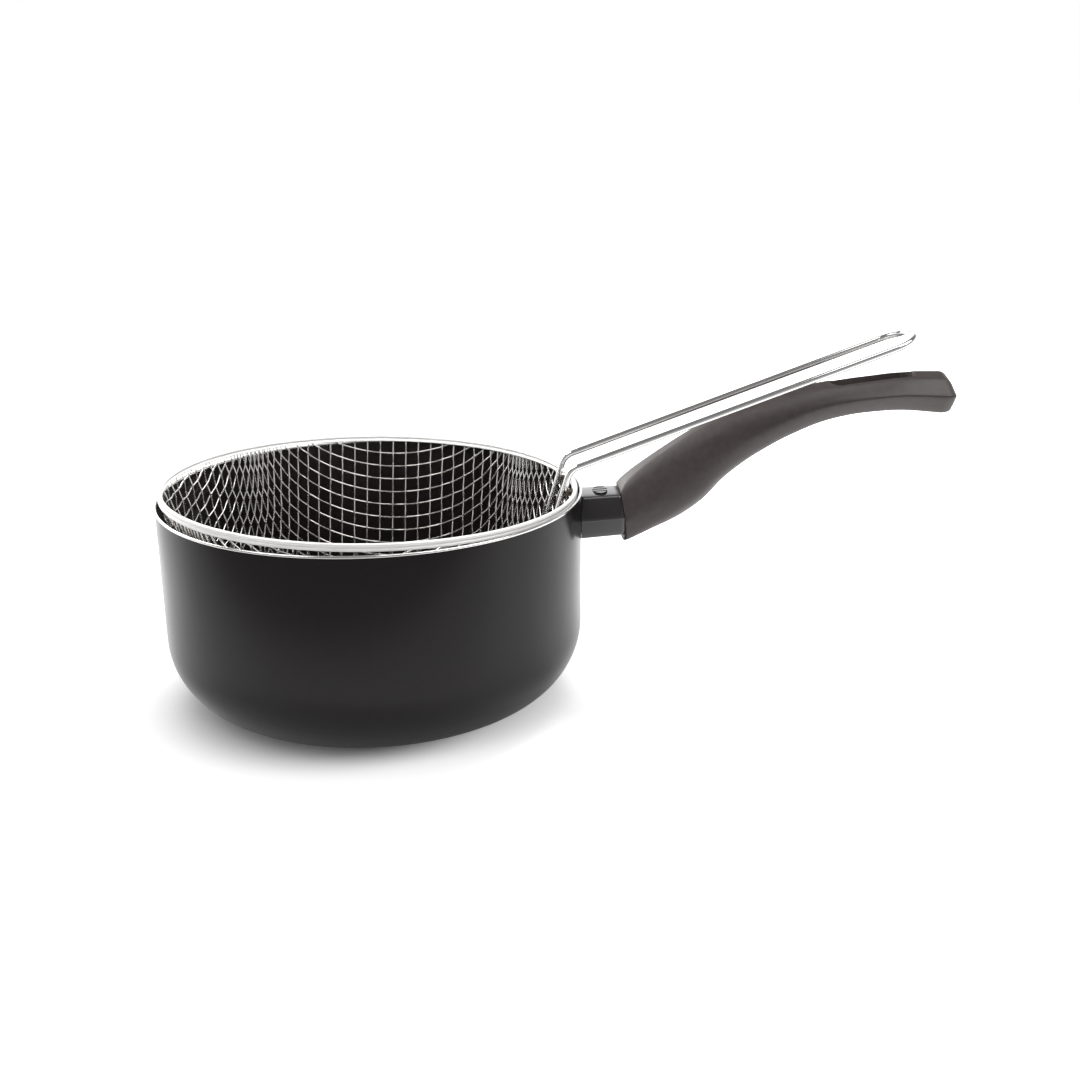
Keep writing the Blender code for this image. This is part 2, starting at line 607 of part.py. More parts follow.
class Bowl:
    """The basket's drawn shape: a flat bottom, a round corner and a leaning wall.

    A place on it is given by the length s along its meridian and the angle about its axis.
    """

    def __init__(self):
        self.turn = math.pi / 2.0 - NET_LEAN
        corner_top = NET_CORNER_RADIUS * (1.0 - math.cos(self.turn))
        wall_height = NET_DEPTH + NET_ABOVE_HEM_EDGE - corner_top
        self.wall = wall_height / math.cos(NET_LEAN)
        self.corner_radius_out = HEM_MID_RADIUS - wall_height * math.tan(NET_LEAN)
        self.flat = self.corner_radius_out - NET_CORNER_RADIUS * math.sin(self.turn)
        self.corner = NET_CORNER_RADIUS * self.turn
        self.length = self.flat + self.corner + self.wall

    def point(self, s, angle):
        """The point of the bowl at a meridian length and an angle."""
        if s <= self.flat:
            radius = s
            height = 0.0
        elif s <= self.flat + self.corner:
            turned_by = (s - self.flat) / NET_CORNER_RADIUS
            radius = self.flat + NET_CORNER_RADIUS * math.sin(turned_by)
            height = NET_CORNER_RADIUS * (1.0 - math.cos(turned_by))
        else:
            up = s - self.flat - self.corner
            radius = self.corner_radius_out + up * math.sin(NET_LEAN)
            height = NET_CORNER_RADIUS * (1.0 - math.cos(self.turn)) + up * math.cos(NET_LEAN)
        return Vector((radius * math.cos(angle), radius * math.sin(angle), height - NET_DEPTH))

    def step(self, first, second, guess, side):
        """Find the knot at a cell's side from two knots, by Newton's method.

        The wires of the net don't stretch, so each knot keeps that distance to both.
        """
        tolerance = side * KNOT_TOLERANCE_SHARE
        nudge = side * KNOT_NUDGE_SHARE
        longest = side * KNOT_STEP_SHARE
        s, angle = guess
        for _ in range(KNOT_TRIES):
            miss_a = (self.point(s, angle) - first).length - side
            miss_b = (self.point(s, angle) - second).length - side
            if max(abs(miss_a), abs(miss_b)) < tolerance:
                break
            along = self.point(s + nudge, angle)
            around = self.point(s, angle + nudge / self.length)
            a_s = ((along - first).length - side - miss_a) / nudge
            b_s = ((along - second).length - side - miss_b) / nudge
            a_t = ((around - first).length - side - miss_a) / (nudge / self.length)
            b_t = ((around - second).length - side - miss_b) / (nudge / self.length)
            spread = a_s * b_t - a_t * b_s
            s_step = (a_t * miss_b - b_t * miss_a) / spread
            t_step = (b_s * miss_a - a_s * miss_b) / spread
            s += max(-longest, min(longest, s_step))
            angle += max(-KNOT_SWING, min(KNOT_SWING, t_step))
        return s, angle

    def knots(self, side):
        """Lay a square net over one quarter of the bowl and return its knots by row and column."""
        count = int(self.length / side) + 3
        grid = {(0, 0): (0.0, 0.0)}
        s = 0.0
        for i in range(1, count + 1):
            start = self.point(s, 0.0)
            s += side
            for _ in range(5):
                s += side - (self.point(s, 0.0) - start).length
            grid[(i, 0)] = (s, 0.0)
            grid[(0, i)] = (s, math.pi / 2.0)
        for i in range(1, count + 1):
            for j in range(i, count + 1):
                below, beside, corner = grid[(i - 1, j)], grid[(i, j - 1)], grid[(i - 1, j - 1)]
                first, second = self.point(*below), self.point(*beside)
                ahead = first + second - self.point(*corner)
                guess = (below[0] + beside[0] - corner[0], math.atan2(ahead.y, ahead.x))
                s_new, angle = self.step(first, second, guess, side)
                grid[(i, j)] = (s_new, angle)
                grid[(j, i)] = (s_new, math.pi / 2.0 - angle)
        return grid, count


def basket_mesh(mat):
    """The drawn net: square cells laid over the bowl without stretching, four quarters alike.

    Each cell is opened by a hole inset from its sides, and the sheet of bars that is left is
    given its thickness. Cells that the draw has squeezed shut stay closed.
    """
    bowl = Bowl()
    side = bowl.length / NET_CELLS_UP
    grid, count = bowl.knots(side)
    bm = bmesh.new()
    made = {}

    def knot(quarter, i, j):
        """The vertex of a knot, shared between neighbouring quarters."""
        s, angle = grid[(i, j)]
        place = bowl.point(s, angle + quarter * math.pi / 2.0 + NET_TURN)
        key = tuple(round(value / KNOT_GRID) for value in place)
        if key not in made:
            made[key] = bm.verts.new(place)
        return made[key]

    for quarter in range(4):
        for i in range(count):
            for j in range(count):
                keys = [(i, j), (i + 1, j), (i + 1, j + 1), (i, j + 1)]
                if min(grid[key][0] for key in keys) < bowl.length:
                    bm.faces.new([knot(quarter, *key) for key in keys])
    trim_net(bm)
    bmesh.ops.recalc_face_normals(bm, faces=bm.faces)
    open_net(bm)
    obj = add_object("basket_mesh", bm, mat, math.radians(60.0))
    solid = obj.modifiers.new("thickness", "SOLIDIFY")
    solid.thickness = NET_SHEET
    solid.offset = 0.0
    return obj


def trim_net(bm):
    """Cut the net off level inside the hem and round its edge to the hem's circle."""
    everything = bm.verts[:] + bm.edges[:] + bm.faces[:]
    bmesh.ops.bisect_plane(bm, geom=everything, dist=CUT_TOLERANCE, clear_outer=True,
                           plane_co=(0.0, 0.0, NET_ABOVE_HEM_EDGE), plane_no=(0.0, 0.0, 1.0))
    for edge in [edge for edge in bm.edges if edge.is_boundary]:
        for cuts_left in range(NET_EDGE_CUTS, 0, -1):
            edge, _ = bmesh.utils.edge_split(edge, edge.verts[0], cuts_left / (cuts_left + 1.0))
    for vert in bm.verts:
        if vert.is_boundary:
            plan = Vector((vert.co.x, vert.co.y)).normalized() * HEM_MID_RADIUS
            vert.co = (plan.x, plan.y, NET_ABOVE_HEM_EDGE)


def face_width(face):
    """The least width of a face: the shortest height over any of its edges."""
    widths = []
    for edge in face.edges:
        run = edge.verts[1].co - edge.verts[0].co
        far = max((run.cross(vert.co - edge.verts[0].co)).length / run.length for vert in face.verts)
        widths.append(far)
    return min(widths)


def open_net(bm):
    """Inset each wide cell by half a bar and take its middle away."""
    cells = [face for face in bm.faces if face_width(face) > NET_CLOSED_CELL]
    bmesh.ops.inset_individual(bm, faces=cells, thickness=NET_WIRE / 2.0, use_even_offset=True)
    bmesh.ops.delete(bm, geom=cells, context="FACES_ONLY")


def basket_handle_points():
    """Centre line of the basket's handle, from one riser's foot round the loop to the other's."""
    half = STRAND_SPACING / 2.0
    hem_z = basket_height() - HEM_MID_RADIUS * math.sin(BASKET_TILT)
    bend = Vector((HEM_MID_RADIUS - BEND_INSET, 0.0, hem_z + BEND_LIFT))
    down = Vector((-math.cos(RISER_LEAN), 0.0, -math.sin(RISER_LEAN)))
    out = Vector((math.cos(STRAND_RISE), 0.0, math.sin(STRAND_RISE)))
    foot = bend + down * (RISER_DROP / math.sin(RISER_LEAN))
    straight = LOOP_REACH / math.cos(STRAND_RISE) - half
    turn = (RISER_LEAN - STRAND_RISE) / 2.0
    cut = BEND_RADIUS * math.tan(turn)
    centre = bend + (out + down).normalized() * (BEND_RADIUS / math.cos(turn))
    first = (bend + down * cut) - centre
    side = [foot]
    for k in range(BEND_STEPS + 1):
        swing = Matrix.Rotation(2.0 * turn * k / BEND_STEPS, 4, "Y")
        side.append(centre + swing @ first)
    points = [point + Vector((0.0, -half, 0.0)) for point in side]
    loop_centre = bend + out * straight
    for k in range(LOOP_STEPS + 1):
        angle = -math.pi / 2.0 + math.pi * k / LOOP_STEPS
        across = Vector((0.0, math.sin(angle), 0.0)) * half
        points.append(loop_centre + out * (math.cos(angle) * half) + across)
    points += [point + Vector((0.0, half, 0.0)) for point in reversed(side)]
    return points


def basket_handle(mat):
    """One round wire along the handle's centre line."""
    curve = bpy.data.curves.new("basket_handle", "CURVE")
    curve.dimensions = "3D"
    curve.bevel_depth = HANDLE_WIRE / 2.0
    curve.bevel_resolution = HANDLE_ROUNDNESS
    curve.use_fill_caps = True
    points = basket_handle_points()
    spline = curve.splines.new("POLY")
    spline.points.add(len(points) - 1)
    for target, point in zip(spline.points, points):
        target.co = (*point, 1.0)
    curve.materials.append(mat)
    obj = bpy.data.objects.new("basket_handle", curve)
    bpy.context.collection.objects.link(obj)
    return obj


def main():
    """Build the pot and its basket."""
    clear_scene()
    enamel = material("enamel", (0.018, 0.015, 0.016), 0.18, 0.0)
    steel = material("steel", (0.72, 0.71, 0.70), 0.18, 1.0)
    zinc = material("zinc", (0.55, 0.55, 0.56), 0.40, 1.0)
    gloss = material("gloss_black", (0.012, 0.012, 0.013), 0.12, 0.0)
    grip = material("matte_black", (0.030, 0.026, 0.025), 0.50, 0.0)
    pot_shell(enamel)
    rim_band(steel)
    handle_bracket(zinc)
    handle_collar(gloss)
    handle_grip(grip)
    grip_bolt(zinc)
    bolt_washer(zinc)
    frame = basket_frame()
    for piece in (basket_mesh(steel), basket_hem(steel), basket_ring_wire(steel)):
        piece.parent = frame
    basket_handle(steel)


main()
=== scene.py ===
"""The looks of the chip pot: a dark enamelled pot, its swept handle and the woven basket in it.

Lengths are in metres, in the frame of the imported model: the pot's base is at the origin, +Z is
up and the handle points along +X.
"""

import logging
from dataclasses import dataclass
from enum import Enum
from functools import cache
from math import acos, atan2, cos, pi, radians, sin, sqrt, tan, tau

import bmesh
import bpy
from bmesh.types import BMEdge, BMesh, BMVert
from bpy.types import ID, Material, Mesh, Node, NodeSocket, NodeTree, Object
from mathutils import Matrix, Vector, noise


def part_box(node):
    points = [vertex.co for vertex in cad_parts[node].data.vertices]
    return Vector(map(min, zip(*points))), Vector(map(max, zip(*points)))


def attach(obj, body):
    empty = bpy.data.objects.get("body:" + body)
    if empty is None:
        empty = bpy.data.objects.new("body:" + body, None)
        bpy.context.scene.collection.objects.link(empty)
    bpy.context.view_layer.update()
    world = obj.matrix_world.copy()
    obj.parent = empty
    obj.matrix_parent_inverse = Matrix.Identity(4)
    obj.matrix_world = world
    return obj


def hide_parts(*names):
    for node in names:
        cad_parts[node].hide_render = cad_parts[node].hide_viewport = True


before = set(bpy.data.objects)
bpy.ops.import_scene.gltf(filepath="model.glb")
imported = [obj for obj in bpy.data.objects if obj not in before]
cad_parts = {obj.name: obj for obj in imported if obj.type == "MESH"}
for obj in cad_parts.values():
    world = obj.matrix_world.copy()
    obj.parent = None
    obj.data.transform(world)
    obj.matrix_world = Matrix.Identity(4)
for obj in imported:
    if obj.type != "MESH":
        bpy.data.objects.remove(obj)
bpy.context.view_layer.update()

MM = 0.001
WHITE = (1.0, 1.0, 1.0, 1.0)
SMOOTH_ANGLE = 35.0
FOLD_ANGLE = 50.0
log = logging.getLogger("chip_pot")

Path = list[Vector]
Place = tuple[float, float]


class Body(Enum):
    """The two bodies that the pieces ride on."""

    POT = "pot"
    BASKET = "basket"


class Slot(Enum):
    """The record's material slots for new pieces."""

    ENAMEL = "enamel"
    BRIGHT_STEEL = "bright_steel"
    COLLAR = "collar_gloss"
    GRIP = "grip_matte"
    WIRE = "tinned_wire"


# Materials

class Graph:
    """A node tree, with short calls for the nodes that the finishes and the studio share."""

    def __init__(self, tree: NodeTree) -> None:
        """Take up a new tree: a material's with its Principled shader, or the world's."""
        self.tree = tree
        self.shader = tree.nodes.get("Principled BSDF") or tree.nodes["Background"]

    def give(self, socket: NodeSocket, value: object) -> None:
        """Link an output to an input, or give the input a constant.

        Args:
            socket: The input.
            value: Another node's output, or the constant.
        """
        if isinstance(value, NodeSocket):
            self.tree.links.new(value, socket)
        else:
            socket.default_value = value

    def set(self, node: Node, **values: object) -> None:
        """Set a node's inputs, named with underscores for spaces."""
        for name, value in values.items():
            self.give(node.inputs[name.replace("_", " ")], value)

    def node(self, kind: str, **values: object) -> Node:
        """Add a node and set its inputs.

        Args:
            kind: The node's type name, without the ShaderNode that it begins with.
            **values: Input names, with underscores for spaces, and their values.

        Returns:
            The new node.
        """
        made = self.tree.nodes.new(f"ShaderNode{kind}")
        self.set(made, **values)
        return made

    def join(self, kind: str, operation: str, *values: object) -> NodeSocket:
        """Join values by a node that takes them in order.

        Args:
            kind: The node's type name, without the ShaderNode that it begins with.
            operation: The node's operation, or an empty text if it has none.
            *values: Other nodes' outputs, or constants.

        Returns:
            The node's last output.
        """
        made = self.node(kind)
        if operation:
            made.operation = operation
        for socket, value in zip(made.inputs, values):
            self.give(socket, value)
        return made.outputs[-1]

    def place(self) -> NodeSocket:
        """Return the Object coordinate's output."""
        return self.node("TexCoord").outputs["Object"]

    def distance(self, centre: tuple) -> NodeSocket:
        """Return the output that tells how far a place is from a centre."""
        return self.join("VectorMath", "DISTANCE", self.place(), centre)

    def pattern(self, scale: float, detail: float, stretch: tuple) -> NodeSocket:
        """Lay a noise pattern on Object coordinates.

        Args:
            scale: The pattern's scale, per metre.
            detail: How many finer levels it has.
            stretch: How much faster it changes along each axis.

        Returns:
            The noise's factor output.
        """
        place = self.node("Mapping", Scale=stretch, Vector=self.place()).outputs["Vector"]
        return self.node("TexNoise", Scale=scale, Detail=detail, Vector=place).outputs["Fac"]

    def blend(self, factor: NodeSocket, low: tuple, high: tuple) -> NodeSocket:
        """Mix two colours.

        Args:
            factor: The share of the second colour.
            low: The first colour.
            high: The second colour.

        Returns:
            The mixed colour's output.
        """
        made = self.node("Mix")
        made.data_type = "RGBA"
        self.set(made, Factor=factor, A=(*low, 1.0), B=(*high, 1.0))
        return made.outputs["Result"]

    def fade(self, value: NodeSocket, span: tuple) -> NodeSocket:
        """Fade smoothly between two levels.

        Args:
            value: The value to read.
            span: Where the fade starts and ends, and its levels there.

        Returns:
            The level's output.
        """
        names = ("From Min", "From Max", "To Min", "To Max")
        made = self.node("MapRange", Value=value, **dict(zip(names, span)))
        made.interpolation_type = "SMOOTHSTEP"
        return made.outputs["Result"]


def new_material(name: str) -> tuple[Material, Graph]:
    """Return a material with only its Principled shader, and the graph of its nodes."""
    material = bpy.data.materials.new(name)
    material.use_nodes = True
    return material, Graph(material.node_tree)


@dataclass(frozen=True)
class Finish:
    """A surface with two colours in patches, a gloss that varies and a fine relief.

    Patches, wear and grain are noise patterns: a scale per metre and a number of finer levels.
    """

    name: str
    low: tuple
    high: tuple
    roughness: float
    spread: float
    relief: float
    patches: tuple = (300.0, 4.0)
    wear: tuple = (150.0, 5.0)
    grain: tuple = (1500.0, 3.0)
    strength: float = 0.5
    metallic: float = 0.0
    specular_level: float = 0.5
    coat: float = 0.0
    coat_roughness: float = 0.05
    streaks: tuple = (1.0, 1.0, 1.0)

    @cache
    def build(self) -> Material:
        """Build the material at the first call.

        Returns:
            The material.
        """
        material, g = new_material(self.name)
        patches, wear, grain = (g.pattern(*pattern, self.streaks)
                                for pattern in (self.patches, self.wear, self.grain))
        gloss = g.node("MapRange", Value=wear, To_Min=self.roughness,
                       To_Max=self.roughness + self.spread)
        bump = g.node("Bump", Strength=self.strength, Distance=self.relief, Height=grain)
        g.set(g.shader, Metallic=self.metallic, Specular_IOR_Level=self.specular_level,
              Base_Color=g.blend(patches, self.low, self.high),
              Roughness=gloss.outputs["Result"], Normal=bump.outputs["Normal"])
        if self.coat:
            g.set(g.shader, Coat_Weight=self.coat, Coat_Roughness=self.coat_roughness)
        return material


@dataclass(frozen=True)
class Steel(Finish):
    """Bright metal with faint wear in its gloss."""

    patches: tuple = (240.0, 4.0)
    wear: tuple = (520.0, 5.0)
    strength: float = 0.25
    metallic: float = 1.0


ENAMEL = Finish("dark_enamel", (0.0040, 0.0028, 0.0030), (0.0085, 0.0062, 0.0064), 0.17, 0.06,
                0.02 * MM, (900.0, 3.0), (60.0, 4.0), (420.0, 2.0), 0.35, specular_level=0.28)
BRIGHT = Steel("bright_steel", (0.82, 0.81, 0.80), (0.90, 0.89, 0.88), 0.07, 0.06, 0.003 * MM)
STRIP = Steel("crimped_strip", (0.62, 0.61, 0.60), (0.97, 0.96, 0.95), 0.30, 0.20, 0.010 * MM,
              metallic=0.30, streaks=(0.4, 0.4, 9.0))
TINNED = Steel("tinned_wire", (0.80, 0.78, 0.76), (0.92, 0.90, 0.88), 0.10, 0.08, 0.006 * MM,
               metallic=0.90)
PLATED = Steel("plated_steel", (0.48, 0.48, 0.50), (0.58, 0.58, 0.60), 0.34, 0.12, 0.010 * MM)
WELD = Steel("burnt_weld", (0.030, 0.018, 0.012), (0.24, 0.19, 0.15), 0.42, 0.20, 0.040 * MM,
             (1400.0, 4.0), metallic=0.7)
GLOSS_BLACK = Finish("gloss_black", (0.010, 0.009, 0.010), (0.018, 0.016, 0.017), 0.07, 0.05,
                     0.01 * MM, grain=(260.0, 3.0), coat=0.6)
MATTE_BLACK = Finish("matte_black", (0.024, 0.018, 0.017), (0.050, 0.038, 0.034), 0.38, 0.12,
                     0.06 * MM)


# Making meshes

def upright(x: float, z: float) -> Vector:
    """Return a point of the upright plane through the handle."""
    return Vector((x, 0.0, z))


def add_object(name: str, data: ID) -> Object:
    """Link a new object with these data to the scene and return it."""
    obj = bpy.data.objects.new(name, data)
    bpy.context.scene.collection.objects.link(obj)
    return obj


def shade(mesh: Mesh, angle: float) -> Mesh:
    """Shade a mesh smooth but for edges over this many degrees, and return it."""
    mesh.shade_smooth()
    mesh.set_sharp_from_angle(angle=radians(angle))
    return mesh


def evaluated_mesh(obj: Object) -> Mesh:
    """Return a new mesh of an object with its modifiers or its curve's section applied."""
    graph = bpy.context.evaluated_depsgraph_get()
    return bpy.data.meshes.new_from_object(obj.evaluated_get(graph))


def finish_mesh(name: str, bm: BMesh, smooth_angle: float = SMOOTH_ANGLE) -> Object:
    """Turn a bmesh into an object at the origin, shaded smooth.

    Args:
        name: The object's name.
        bm: The bmesh, which is freed.
        smooth_angle: Edges sharper than this many degrees stay sharp.

    Returns:
        The object, linked to the scene.
    """
    bmesh.ops.recalc_face_normals(bm, faces=bm.faces)
    mesh = bpy.data.meshes.new(name)
    bm.to_mesh(mesh)
    bm.free()
    return add_object(name, shade(mesh, smooth_angle))


def bake_modifiers(obj: Object, smooth_angle: float = SMOOTH_ANGLE) -> None:
    """Apply an object's modifiers and shade it smooth but for edges over this many degrees."""
    obj.data = shade(evaluated_mesh(obj), smooth_angle)
    obj.modifiers.clear()


def carve(obj: Object, cutters: list[Object]) -> None:
    """Cut each of the cutters out of an object and remove the cutters.

    Args:
        obj: The object.
        cutters: Closed solids.
    """
    for cutter in cutters:
        cut = obj.modifiers.new(f"cut_{cutter.name}", "BOOLEAN")
        cut.operation = "DIFFERENCE"
        cut.object = cutter
    bake_modifiers(obj)
    for cutter in cutters:
        bpy.data.objects.remove(cutter)


def round_edges(obj: Object, width: float, angle: float, segments: int = 3) -> None:
    """Round an object's sharp edges.

    Args:
        obj: The object.
        width: The bevel's width in metres.
        angle: Only edges sharper than this many degrees are rounded.
        segments: The steps across it.
    """
    bevel = obj.modifiers.new("round_edges", "BEVEL")
    bevel.width = width
    bevel.segments = segments
    bevel.limit_method = "ANGLE"
    bevel.angle_limit = radians(angle)
    bevel.harden_normals = True
    bake_modifiers(obj, angle)


def arc(centre: tuple, radius: float, start: float, end: float, steps: int) -> list[tuple]:
    """Return points of a circular arc, both ends included.

    Args:
        centre: The arc's centre in its plane.
        radius: Its radius.
        start: The first angle in radians.
        end: The last angle in radians.
        steps: How many steps it takes.

    Returns:
        The points, as pairs.
    """
    angles = [start + (end - start) * k / steps for k in range(steps + 1)]
    return [(centre[0] + radius * cos(a), centre[1] + radius * sin(a)) for a in angles]


def turn(name: str, profile: list[tuple], steps: int, closed: bool = False,
         smooth_angle: float = SMOOTH_ANGLE) -> Object:
    """Spin a profile of (radius, height) points about Z.

    Args:
        name: The object's name.
        profile: The outline's points.
        steps: Steps round the axis.
        closed: Whether the outline joins up with itself.
        smooth_angle: Edges sharper than this many degrees stay sharp.

    Returns:
        The turned object.
    """
    bm = bmesh.new()
    verts = [bm.verts.new(upright(*point)) for point in profile]
    edges = [bm.edges.new(pair) for pair in zip(verts, verts[1:])]
    if closed:
        edges.append(bm.edges.new((verts[-1], verts[0])))
    bmesh.ops.spin(bm, geom=verts + edges, cent=(0.0, 0.0, 0.0), axis=(0.0, 0.0, 1.0),
                   angle=tau, steps=steps, use_merge=True)
    bmesh.ops.remove_doubles(bm, verts=bm.verts, dist=0.001 * MM)
    return finish_mesh(name, bm, smooth_angle)


def ring_edges(verts: list[BMVert]) -> list[BMEdge]:
    """Return the edges that join a ring's vertices in turn."""
    members = set(verts)
    return list({edge for vert in verts for edge in vert.link_edges
                 if edge.other_vert(vert) in members})


def skin(name: str, rings: list[Path]) -> Object:
    """Bridge rings of points into a closed loft.

    Args:
        name: The object's name.
        rings: Rings with the same number of points each.

    Returns:
        The lofted object.
    """
    bm = bmesh.new()
    loops = []
    for ring in rings:
        circle = bmesh.ops.create_circle(bm, segments=len(ring), radius=1.0)["verts"]
        for vert, point in zip(circle, ring):
            vert.co = point
        loops.append(circle)
    for near, far in zip(loops, loops[1:]):
        bmesh.ops.bridge_loops(bm, edges=ring_edges(near) + ring_edges(far))
    for loop in (loops[0], loops[-1]):
        bmesh.ops.contextual_create(bm, geom=ring_edges(loop))
    return finish_mesh(name, bm)


def tubes(name: str, paths: list[Path], radius: float, resolution: int) -> Object:
    """Sweep a round section along each of several paths, as one mesh.

    Args:
        name: The object's name.
        paths: The centre lines.
        radius: The section's radius.
        resolution: The curve's bevel resolution.

    Returns:
        The tubes as one mesh object.
    """
    curve = bpy.data.curves.new(name, "CURVE")
    curve.dimensions = "3D"
    curve.bevel_depth = radius
    curve.bevel_resolution = resolution
    curve.use_fill_caps = True
    for path in paths:
        spline = curve.splines.new("POLY")
        spline.points.add(len(path) - 1)
        for target, point in zip(spline.points, path):
            target.co = (*point, 1.0)
    guide = add_object(f"{name}_guide", curve)
    mesh = evaluated_mesh(guide)
    bpy.data.objects.remove(guide)
    return add_object(name, shade(mesh, FOLD_ANGLE))


def spline_between(a: float, b: float, c: float, d: float, t: float) -> float:
    """Pass a smooth curve through four values and return it at t between the middle two."""
    return 0.5 * (2.0 * b + (c - a) * t + (2.0 * a - 5.0 * b + 4.0 * c - d) * t * t
                  + (3.0 * b - a - 3.0 * c + d) * t * t * t)


def cut_corners(points: list[tuple], share: float) -> list[tuple]:
    """Cut the corners of a closed outline by a share of its sides, then twice by a quarter.

    Args:
        points: The outline's points.
        share: How far along each side the first cuts lie.

    Returns:
        The rounder outline, with eight times as many points.
    """
    for part in (share, 0.25, 0.25):
        points = [tuple(p + (q - p) * part for p, q in zip(point, other))
                  for k, point in enumerate(points)
                  for other in (points[k - 1], points[(k + 1) % len(points)])]
    return points


def dress(obj: Object, finish: Finish, body: Body, slot: Slot, *nodes: str) -> None:
    """Give a new piece its material and body, and hide the nodes that it stands for.

    Args:
        obj: The piece.
        finish: Its finish.
        body: The body that it rides on.
        slot: The record's slot for its finish; not used.
        *nodes: The nodes that it replaces.
    """
    obj.data.materials.clear()
    obj.data.materials.append(finish.build())
    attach(obj, body.value)
    if nodes:
        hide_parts(*nodes)
    log.info("%s: %d faces", obj.name, len(obj.data.polygons))


def paint_node(node: str, finish: Finish) -> None:
    """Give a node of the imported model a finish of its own.

    Args:
        node: The node's name.
        finish: Its finish.
    """
    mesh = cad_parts[node].data
    mesh.materials.clear()
    mesh.materials.append(finish.build())
    log.info("%s: kept, with a new finish", node)


# Pot

@dataclass
class Pot:
    """The enamelled shell and the bright band over its edge."""

    radius: float = 100.0 * MM
    height: float = 99.9 * MM
    wall: float = 0.8 * MM
    floor: float = 2.0 * MM
    taper: float = 0.8 * MM
    corner: float = 36.0 * MM
    groove_radius: float = 44.0 * MM
    groove_width: float = 4.0 * MM
    groove_depth: float = 0.5 * MM
    band_sheet: float = 0.2 * MM
    band_gap: float = 0.05 * MM
    band_leg: float = 0.25 * MM
    steps: int = 256
    corner_steps: int = 28
    edge_steps: int = 8
    fold_steps: tuple = (16, 10)
    lip_steps: int = 6

    @property
    def band_width(self) -> float:
        """Thickness of the band across the wall."""
        return self.wall + 2.0 * (self.band_gap + self.band_sheet)

    def wall_radius(self, height: float) -> float:
        """Outside radius of the wall at a height above its corner."""
        share = (self.height - height) / (self.height - self.corner)
        return self.radius - self.band_sheet - self.band_gap - self.taper * share

    def build(self) -> None:
        """Build both pieces and dress them."""
        dress(self.shell(), ENAMEL, Body.POT, Slot.ENAMEL, "pot_shell")
        dress(self.band(), BRIGHT, Body.POT, Slot.BRIGHT_STEEL, "rim_band")

    def shell(self) -> Object:
        """Spin the shell's section: base with its pressed ring, corner, wall and inside.

        Returns:
            The shell piece.
        """
        edge = self.height - self.band_width / 2.0
        foot = self.wall_radius(self.corner) - self.corner
        inner = self.corner - self.wall
        start = self.groove_radius - self.groove_width / 2.0
        profile = [(0.0, 0.0)]
        for k in range(self.edge_steps + 1):
            share = k / self.edge_steps
            profile.append((start + self.groove_width * share,
                            self.groove_depth * sin(pi * share)))
        profile += arc((foot, self.corner), self.corner, -pi / 2.0, 0.0, self.corner_steps)
        profile += arc((self.wall_radius(edge) - self.wall / 2.0, edge), self.wall / 2.0,
                       0.0, pi, self.edge_steps)
        profile += arc((foot, self.floor + inner), inner, 0.0, -pi / 2.0, self.corner_steps)
        profile.append((0.0, self.floor))
        return turn("pot_shell_glazed", profile, self.steps)

    def band(self) -> Object:
        """Spin the band's folded section.

        Returns:
            The band.
        """
        half = self.band_width / 2.0
        mid = self.radius - half
        centre = (mid, self.height - half)
        foot = centre[1] - self.band_leg
        lip = self.band_sheet / 2.0
        outer, inner = self.fold_steps
        profile = arc(centre, half, 0.0, pi, outer)
        profile += arc((mid - half + lip, foot), lip, pi, tau, self.lip_steps)
        profile += arc(centre, half - self.band_sheet, pi, 0.0, inner)
        profile += arc((mid + half - lip, foot), lip, pi, tau, self.lip_steps)
        return turn("rim_band_rolled", profile, self.steps, closed=True,
                    smooth_angle=FOLD_ANGLE)


# Handle

